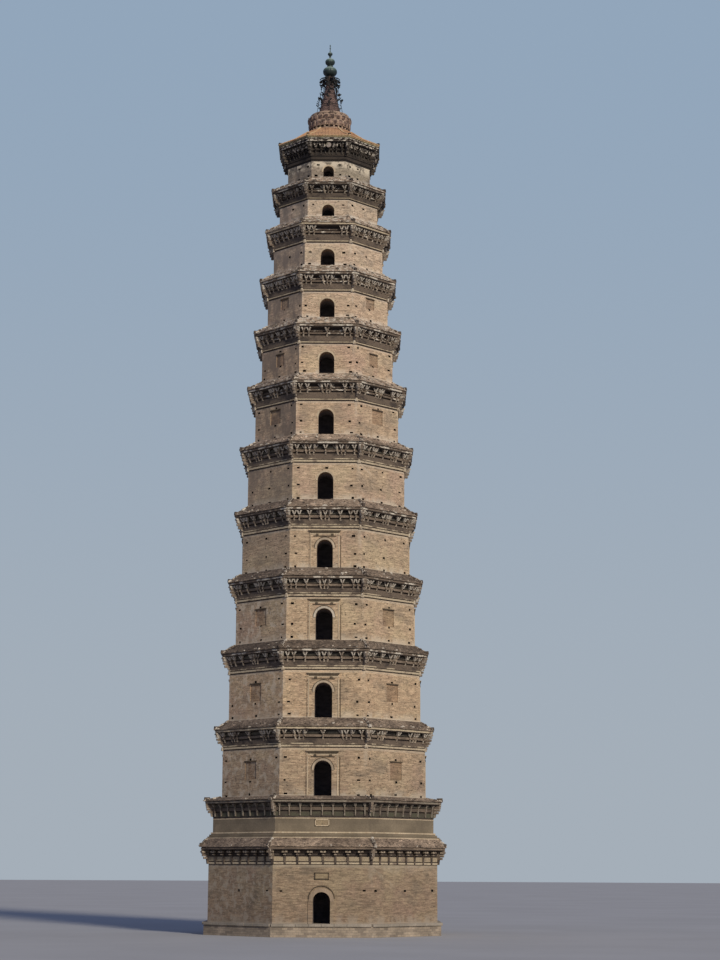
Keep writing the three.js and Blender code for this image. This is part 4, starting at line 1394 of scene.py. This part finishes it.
def petal(width, height, depth, finish, rim=None):
    """One petal on the front, its foot at the origin: a bulging shield that widens upwards and is pointed
    at the top, with a rim in another finish where one is given."""
    bpy.ops.mesh.primitive_grid_add(x_subdivisions=5, y_subdivisions=5, size=1, rotation=(math.pi / 2, 0, 0))
    shield = bpy.context.object
    bpy.ops.object.transform_apply(rotation=True)
    shield.data.materials.append(finish)
    if rim:
        shield.data.materials.append(rim)
        for face in shield.data.polygons:
            face.material_index = int(abs(face.center.x) > 0.3 or face.center.z > 0.3)
    for point in shield.data.vertices:
        across = point.co.x * 2
        up = point.co.z + 0.5
        narrow = (0.75 + 0.5 * up) * math.sqrt(max(0.0, 1 - max(0.0, up - 0.45) ** 2 / 0.36))
        swell = (1 - across ** 2) * math.sin(math.pi * (0.15 + 0.8 * up))
        point.co = (across * width / 2 * narrow, -depth * swell, up * height)
    with_modifier(shield, "SOLIDIFY", thickness=0.03 * real, offset=1)
    return shield


def around_axis(template, count, radius, level, lean=0.0, offset=0.0):
    """A piece from the front, set round the tower's axis."""
    stand = Matrix.Translation((0, -radius, level)) @ Matrix.Rotation(lean, 4, "X")
    return all_set(template, [
        Matrix.Rotation((i + offset) * 2 * math.pi / count, 4, "Z") @ stand for i in range(count)
    ])


def round_map(piece, radius):
    """A map in metres round a turned piece, and up it."""
    points = [point.co for point in piece.data.vertices]
    layer = piece.data.uv_layers.new(name="courses")
    for face in piece.data.polygons:
        middle = math.atan2(face.center.y, face.center.x)
        for corner in face.loop_indices:
            point = points[piece.data.loops[corner].vertex_index]
            off = math.atan2(point.y, point.x) - middle
            off = (off + math.pi) % (2 * math.pi) - math.pi
            layer.data[corner].uv = ((middle + off) * radius, point.z)


def seat_level(share):
    """The level at a share of the seat's height."""
    return seat_low.z + share * seat_height


seat_sides = (                            # radius in real metres, and share of the seat's height
    (1.42, 0.0), (1.44, 0.02), (1.42, 0.10), (1.33, 0.11), (1.33, 0.20), (1.48, 0.21), (1.50, 0.245),
    (1.40, 0.26), (1.38, 0.50), (1.45, 0.62), (1.52, 0.80), (1.50, 0.84), (1.36, 0.85), (1.36, 0.90),
    (1.40, 0.91), (1.40, 1.0), (0.5, 1.0),
)
seat_outline = [(radius * real, seat_level(share)) for radius, share in seat_sides]
seat = turned_piece("lotus_drum", seat_outline, 48, seat_shadow, rim_brick)
for face in seat.data.polygons:
    share = (face.center.z - seat_low.z) / seat_height
    face.material_index = int(any(low < share < high for low, high in rim_bands))
post = stone_block("base_post", post_size, (0, 0, 0), 0.012 * real, rim_brick)
seat_parts = [seat, *around_axis(post, post_count, post_out, seat_level(0.155))]
for radius, share, height, width, lean, offset in petal_rows:
    leaf = petal(width * real, height * real, petal_bulge, petal_brick, rim_brick)
    seat_parts += around_axis(leaf, petal_count, radius * real, seat_level(share), lean, offset)
lotus = joined("lotus_drum_seat", seat_parts)
round_map(lotus, 1.45 * real)
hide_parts("lotus_seat")
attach(lotus, "root")

# Spire cone: a slender tapering shaft of small dark red bricks on the seat, with courses at even heights
# that stand out a little, and a plain dark neck at the top.
cone_light = (0.25, 0.155, 0.125, 1)
cone_dark = (0.085, 0.055, 0.047, 1)
cone_joint = (0.030, 0.022, 0.020, 1)
cone_low, cone_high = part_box("spire_cone")
cone_brick = coursed_finish("small_spire_brick", cone_light, cone_dark, cone_joint,
                            (0.16 * real, 0.085 * real, 0.012 * real), (0.6, 1.3), relief=0.8)
cone_rises = (0, 0.6, 1.1, 1.6, 2.24, 2.62, 2.69)         # over its foot, in real metres, with radii there
cone_radii = (0.84, 0.73, 0.60, 0.46, 0.35, 0.25, 0.22)
course_step = 0.17 * real
proud_courses = 15
course_out = 0.010 * real
course_height = 0.05 * real
cone_outline = [(cone_radii[0] * real, cone_low.z)]
for i in range(1, proud_courses + 1):
    radius = real * float(np.interp(i * course_step / real, cone_rises, cone_radii))
    level = cone_low.z + i * course_step
    cone_outline += [
        (radius + course_out, level - course_height), (radius + course_out, level),
        (radius - 0.012 * real, level + 0.004 * real),
    ]
cone_outline += [(cone_radii[-1] * real, cone_low.z + cone_rises[-1] * real), (0.20 * real, cone_high.z)]
cone = turned_piece("brick_spire_cone", cone_outline, 24, cone_brick, seat_shadow)
for face in cone.data.polygons:
    face.material_index = int(face.center.z > cone_low.z + cone_rises[-2] * real)
round_map(cone, 0.45 * real)
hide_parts("spire_cone")
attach(cone, "root")

# Spire cage: eight thin iron bars that stand on the seat and lean in round the cone, tied by hoops and
# hung with thin iron leaves.
iron_black = (0.012, 0.013, 0.013, 1)
iron_rust = (0.045, 0.030, 0.024, 1)
bar_width = 0.035 * real
cage_foot = 1.0 * real
cage_head = 0.55 * real
cage_low, cage_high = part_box("spire_cage")
cage_rise = cage_high.z - cage_low.z
bar_pieces = 8                            # pieces of each bar, from its foot to its head
hoop_step = 0.8 * real
leaf_count = 64
old_iron = clay_finish("rusted_black_iron", iron_rust, iron_black, 9.0, (0.5, 0.66))
bpy.ops.mesh.primitive_circle_add(vertices=6, radius=bar_width / 2, fill_type="NGON",
                                  location=(0, -cage_foot, cage_low.z))
bar = bpy.context.object
bpy.ops.object.transform_apply(location=True)
bpy.ops.object.mode_set(mode="EDIT")
for _ in range(bar_pieces):
    extrude_by((0, (cage_foot - cage_head) / bar_pieces, cage_rise / bar_pieces))
bpy.ops.object.mode_set(mode="OBJECT")
bar.data.materials.append(old_iron)
cage_parts = around_axis(bar, 8, 0, 0)
hoop_level = cage_low.z + hoop_step
while hoop_level < cage_high.z:
    share = (hoop_level - cage_low.z) / cage_rise
    hoop_radius = cage_foot + (cage_head - cage_foot) * share
    bpy.ops.mesh.primitive_circle_add(vertices=5, radius=bar_width / 2, rotation=(0, math.pi / 2, 0),
                                      location=(0, -hoop_radius, hoop_level))
    hoop = bpy.context.object
    bpy.ops.object.transform_apply(location=True, rotation=True)
    bpy.ops.object.mode_set(mode="EDIT")
    bpy.ops.mesh.spin(steps=32, angle=2 * math.pi, center=(0, 0, hoop_level), axis=(0, 0, 1))
    close_up(0.0005)
    hoop.data.materials.append(old_iron)
    cage_parts.append(hoop)
    hoop_level += hoop_step
iron_leaf = petal(0.17 * real, 0.26 * real, 0.03 * real, old_iron)
leaf_places = []
for _ in range(leaf_count):
    share = dice.uniform(0.30, 0.98)
    reach = cage_foot + (cage_head - cage_foot) * share
    turn = Matrix.Rotation((dice.randrange(8) + dice.uniform(-0.14, 0.14)) * math.pi / 4, 4, "Z")
    sway = Matrix.Rotation(dice.uniform(-1.0, 1.0), 4, "Y") @ Matrix.Rotation(dice.uniform(0.2, 0.9), 4, "X")
    place = turn @ Matrix.Translation((0, -reach, cage_low.z + share * cage_rise))
    leaf_places.append(place @ sway @ Matrix.Scale(dice.uniform(0.5, 1.0), 4))
cage_parts += all_set(iron_leaf, leaf_places)
cage = joined("iron_bar_cage", cage_parts)
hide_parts("spire_cage")
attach(cage, "root")

# Leaf crown: an iron ring at the head of the cage, from which eight long leaves bend out and down and curl
# up again at their tips.
crown_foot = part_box("leaf_crown")[0].z
leaf_width = 0.16 * real
leaf_growth = (1.2, 1.1, 0.9, 0.6)
upper_leaf = (                            # out from the axis, and level over the crown's foot, in real metres
    (0.28, 0.60), (0.42, 0.54), (0.57, 0.49), (0.69, 0.43), (0.76, 0.35), (0.74, 0.30),
)
lower_leaf = ((0.44, 0.36), (0.53, 0.20), (0.63, 0.11), (0.74, 0.08), (0.79, 0.13), (0.77, 0.20))


def bent_leaf(path):
    """A leaf on the front that follows a path of (out, level)."""
    bpy.ops.mesh.primitive_plane_add(size=1, location=(0, 0, 0))
    blade = bpy.context.object
    pick(blade, "edges", lambda line: all(point.co.y < 0 for point in line.verts))
    shape = bmesh.from_edit_mesh(blade.data)
    for point in shape.verts:
        out, level = path[1 if point.co.y < 0 else 0]
        point.co = (point.co.x * leaf_width, -out * real, crown_foot + level * real)
    bmesh.update_edit_mesh(blade.data)
    for (out, level), (next_out, next_level), growth in zip(path[1:], path[2:], leaf_growth):
        step = (0, (out - next_out) * real, (next_level - level) * real)
        bpy.ops.mesh.extrude_edges_move(TRANSFORM_OT_translate={"value": step})
        bpy.ops.transform.resize(value=(growth, 1, 1))
    bpy.ops.object.mode_set(mode="OBJECT")
    with_modifier(blade, "SOLIDIFY", thickness=0.045 * real, offset=0)
    blade.data.materials.append(old_iron)
    return blade


leaf_rib = stone_block("leaf_rib", (0.10 * real, 0.20 * real, 0.36 * real),
                       (0, -0.47 * real, crown_foot + 0.24 * real), 0.02 * real, old_iron)
crown_parts = []
for template in (bent_leaf(upper_leaf), bent_leaf(lower_leaf), leaf_rib):
    crown_parts += around_axis(template, 8, 0, 0, offset=0.5)
collar_in, collar_out = 0.48 * real, 0.56 * real
collar_foot, collar_top = crown_foot + 0.01 * real, crown_foot + 0.09 * real
crown_parts.append(octagon_course("crown_collar", [
    (collar_in, collar_foot), (collar_out, collar_foot), (collar_out, collar_top), (collar_in, collar_top),
], old_iron))
crown = joined("leafed_crown", crown_parts)
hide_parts("leaf_crown")
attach(crown, "root")

# Gourd: copper bulbs over one another to the tip, cast with shallow lobes, in streaky green patina, darkened
# under as painted shade and paler on the tops as painted highlight.
copper_shade_deep = (0.022, 0.034, 0.029, 1)
copper_green = (0.070, 0.110, 0.088, 1)
copper_highlight_pale = (0.42, 0.50, 0.43, 1)
lobes = 8
groove = 0.95                             # between the lobes the gourd is this much narrower
lower_neck = [(0.20, 62.36), (0.22, 62.38)]               # radius and level, in real metres
upper_neck = [
    (0.06, 63.04), (0.06, 63.19), (0.13, 63.24), (0.185, 63.33), (0.175, 63.41), (0.10, 63.48),
    (0.035, 63.53), (0.018, 63.74), (0.05, 63.78), (0.05, 63.83), (0.018, 63.87), (0.016, 63.95),
    (0.05, 63.98), (0.045, 64.02),
]
# Each part of the gourd, in real metres: its bulb's middle, radius and height, the neck over the bulb, the
# neck's radius at the end, and the level up to which it has lobes.
gourd_parts = (
    ("lower_gourd_bulb", "gourd_lower", (61.96, 0.53, 0.76), lower_neck, 0.22, 62.34),
    ("upper_gourd_bulb", "gourd_upper", (62.72, 0.365, 0.56), upper_neck, 0.010, 63.0),
)


def washed_and_lit_copper(name):
    """Dark patina in streaks, grey-green on the upper sides as painted highlight and near-black under as
    painted shade.
    """
    material, tree, shader, place = bare_finish(name, 0.5)
    # Painted light: upward-facing sides are paler and downward-facing ones darker.
    painted_light_up = upward(tree, lay(tree, "ShaderNodeNewGeometry").outputs["Normal"])
    cloud = mottle(tree, place, 8.0, (1, 1, 0.5), 4.0, 0.7)
    light_and_cloud = lay(tree, "ShaderNodeMath", {0: painted_light_up, 1: cloud}, operation="ADD").outputs[0]
    colour = blended(tree, graded(tree, light_and_cloud, 0.3, 0.8), copper_shade_deep, copper_green)
    colour = blended(tree, graded(tree, light_and_cloud, 0.85, 1.3, 0, 0.7), colour, copper_highlight_pale)
    tree.links.new(graded(tree, cloud, 0.3, 0.7, 0.38, 0.6), shader.inputs["Roughness"])
    weather(tree, shader, colour, cloud, 0.3, 0.01)
    return material


def bulb(centre, radius, height, rows=10):
    """Outline of one swollen bulb, flatter under than over."""
    outline = []
    for i in range(rows + 1):
        angle = math.pi * (0.06 + 0.88 * i / rows)
        swell = math.sin(angle) ** 0.9
        outline.append((radius * swell, centre - math.cos(angle) * height / 2))
    return outline


def between_lobes(point):
    """Whether a point of a bulb lies on the line between two lobes."""
    turn = math.atan2(point.co.y, point.co.x) / (2 * math.pi) * lobes
    return abs(turn - round(turn)) < 0.02


copper = washed_and_lit_copper("green_copper_painted_light")
for name, node, belly, neck, end, lobed_under in gourd_parts:
    low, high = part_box(node)
    outline = [(radius * real, level * real) for radius, level in bulb(*belly) + neck]
    outline[0] = (outline[0][0], low.z)
    outline.append((end * real, high.z))
    gourd = turned_piece(name, outline, 48, copper)
    pick(gourd, "verts", lambda point: between_lobes(point) and point.co.z < lobed_under * real)
    bpy.ops.transform.resize(value=(groove, groove, 1), center_override=(0, 0, 0))
    bpy.ops.object.mode_set(mode="OBJECT")
    with_modifier(gourd, "SUBSURF", levels=1, render_levels=1)
    gourd.data.shade_smooth()
    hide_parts(node)
    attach(gourd, "root")

# Ground, light and camera: a plain pale floor, one low soft key from the right of the front, a dim pale
# sky, and a lens at the place from which the tower was seen.
bpy.ops.mesh.primitive_circle_add(vertices=64, radius=400, fill_type="NGON")
ground = bpy.context.object
ground.name = "ground"
ground_paint, ground_tree, ground_shader, ground_place = bare_finish("pale_ground", 1.0)
ground_cloud = graded(ground_tree, mottle(ground_tree, ground_place, 0.15), 0.3, 0.7)
ground_colour = blended(ground_tree, ground_cloud, (0.42, 0.40, 0.38, 1), (0.46, 0.44, 0.42, 1))
ground_tree.links.new(ground_colour, ground_shader.inputs["Base Color"])
ground.data.materials.append(ground_paint)
ground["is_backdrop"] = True

key_azimuth = math.radians(27)
key_height = math.radians(25)
bpy.ops.object.light_add(type="SUN", rotation=(math.pi / 2 - key_height, 0, key_azimuth))
key = bpy.context.object
key.name = "key_light"
key.data.energy = 2.67
key.data.angle = math.radians(9)
key.data.color = (1.0, 0.95, 0.85)

sky = bpy.data.worlds.new("pale_sky")
bpy.context.scene.world = sky
sky.use_nodes = True
sky_tree = sky.node_tree
sky_shader = sky_tree.nodes["Background"]
seen = lay(sky_tree, "ShaderNodeLightPath").outputs["Is Camera Ray"]
ray_up = upward(sky_tree, lay(sky_tree, "ShaderNodeTexCoord").outputs["Generated"])
haze = graded(sky_tree, ray_up, 0.0, 0.42)
backdrop = blended(sky_tree, haze, (0.376, 0.428, 0.485, 1), (0.288, 0.381, 0.497, 1))
sky_colour = blended(sky_tree, seen, (0.128, 0.169, 0.30, 1), backdrop)
sky_tree.links.new(sky_colour, sky_shader.inputs["Color"])

eye = Vector((1.157, -69.42, 2.055))
pitch = math.radians(11.095)
yaw = math.radians(-0.015)
roll = math.radians(0.274)
bpy.ops.object.camera_add(location=eye)
camera = bpy.context.object
camera.name = "camera"
camera.matrix_world = (
    Matrix.Translation(eye) @ Matrix.Rotation(yaw, 4, "Z") @ Matrix.Rotation(math.pi / 2 + pitch, 4, "X")
    @ Matrix.Rotation(roll, 4, "Z")
)
camera.data.lens = 75
camera.data.sensor_width = 36
camera.data.clip_end = 1000
bpy.context.scene.camera = camera

visual_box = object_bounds()
boxes = {"packed": packed_box, "visual": visual_box}
{name: [list(corner) for corner in box] for name, box in boxes.items()}
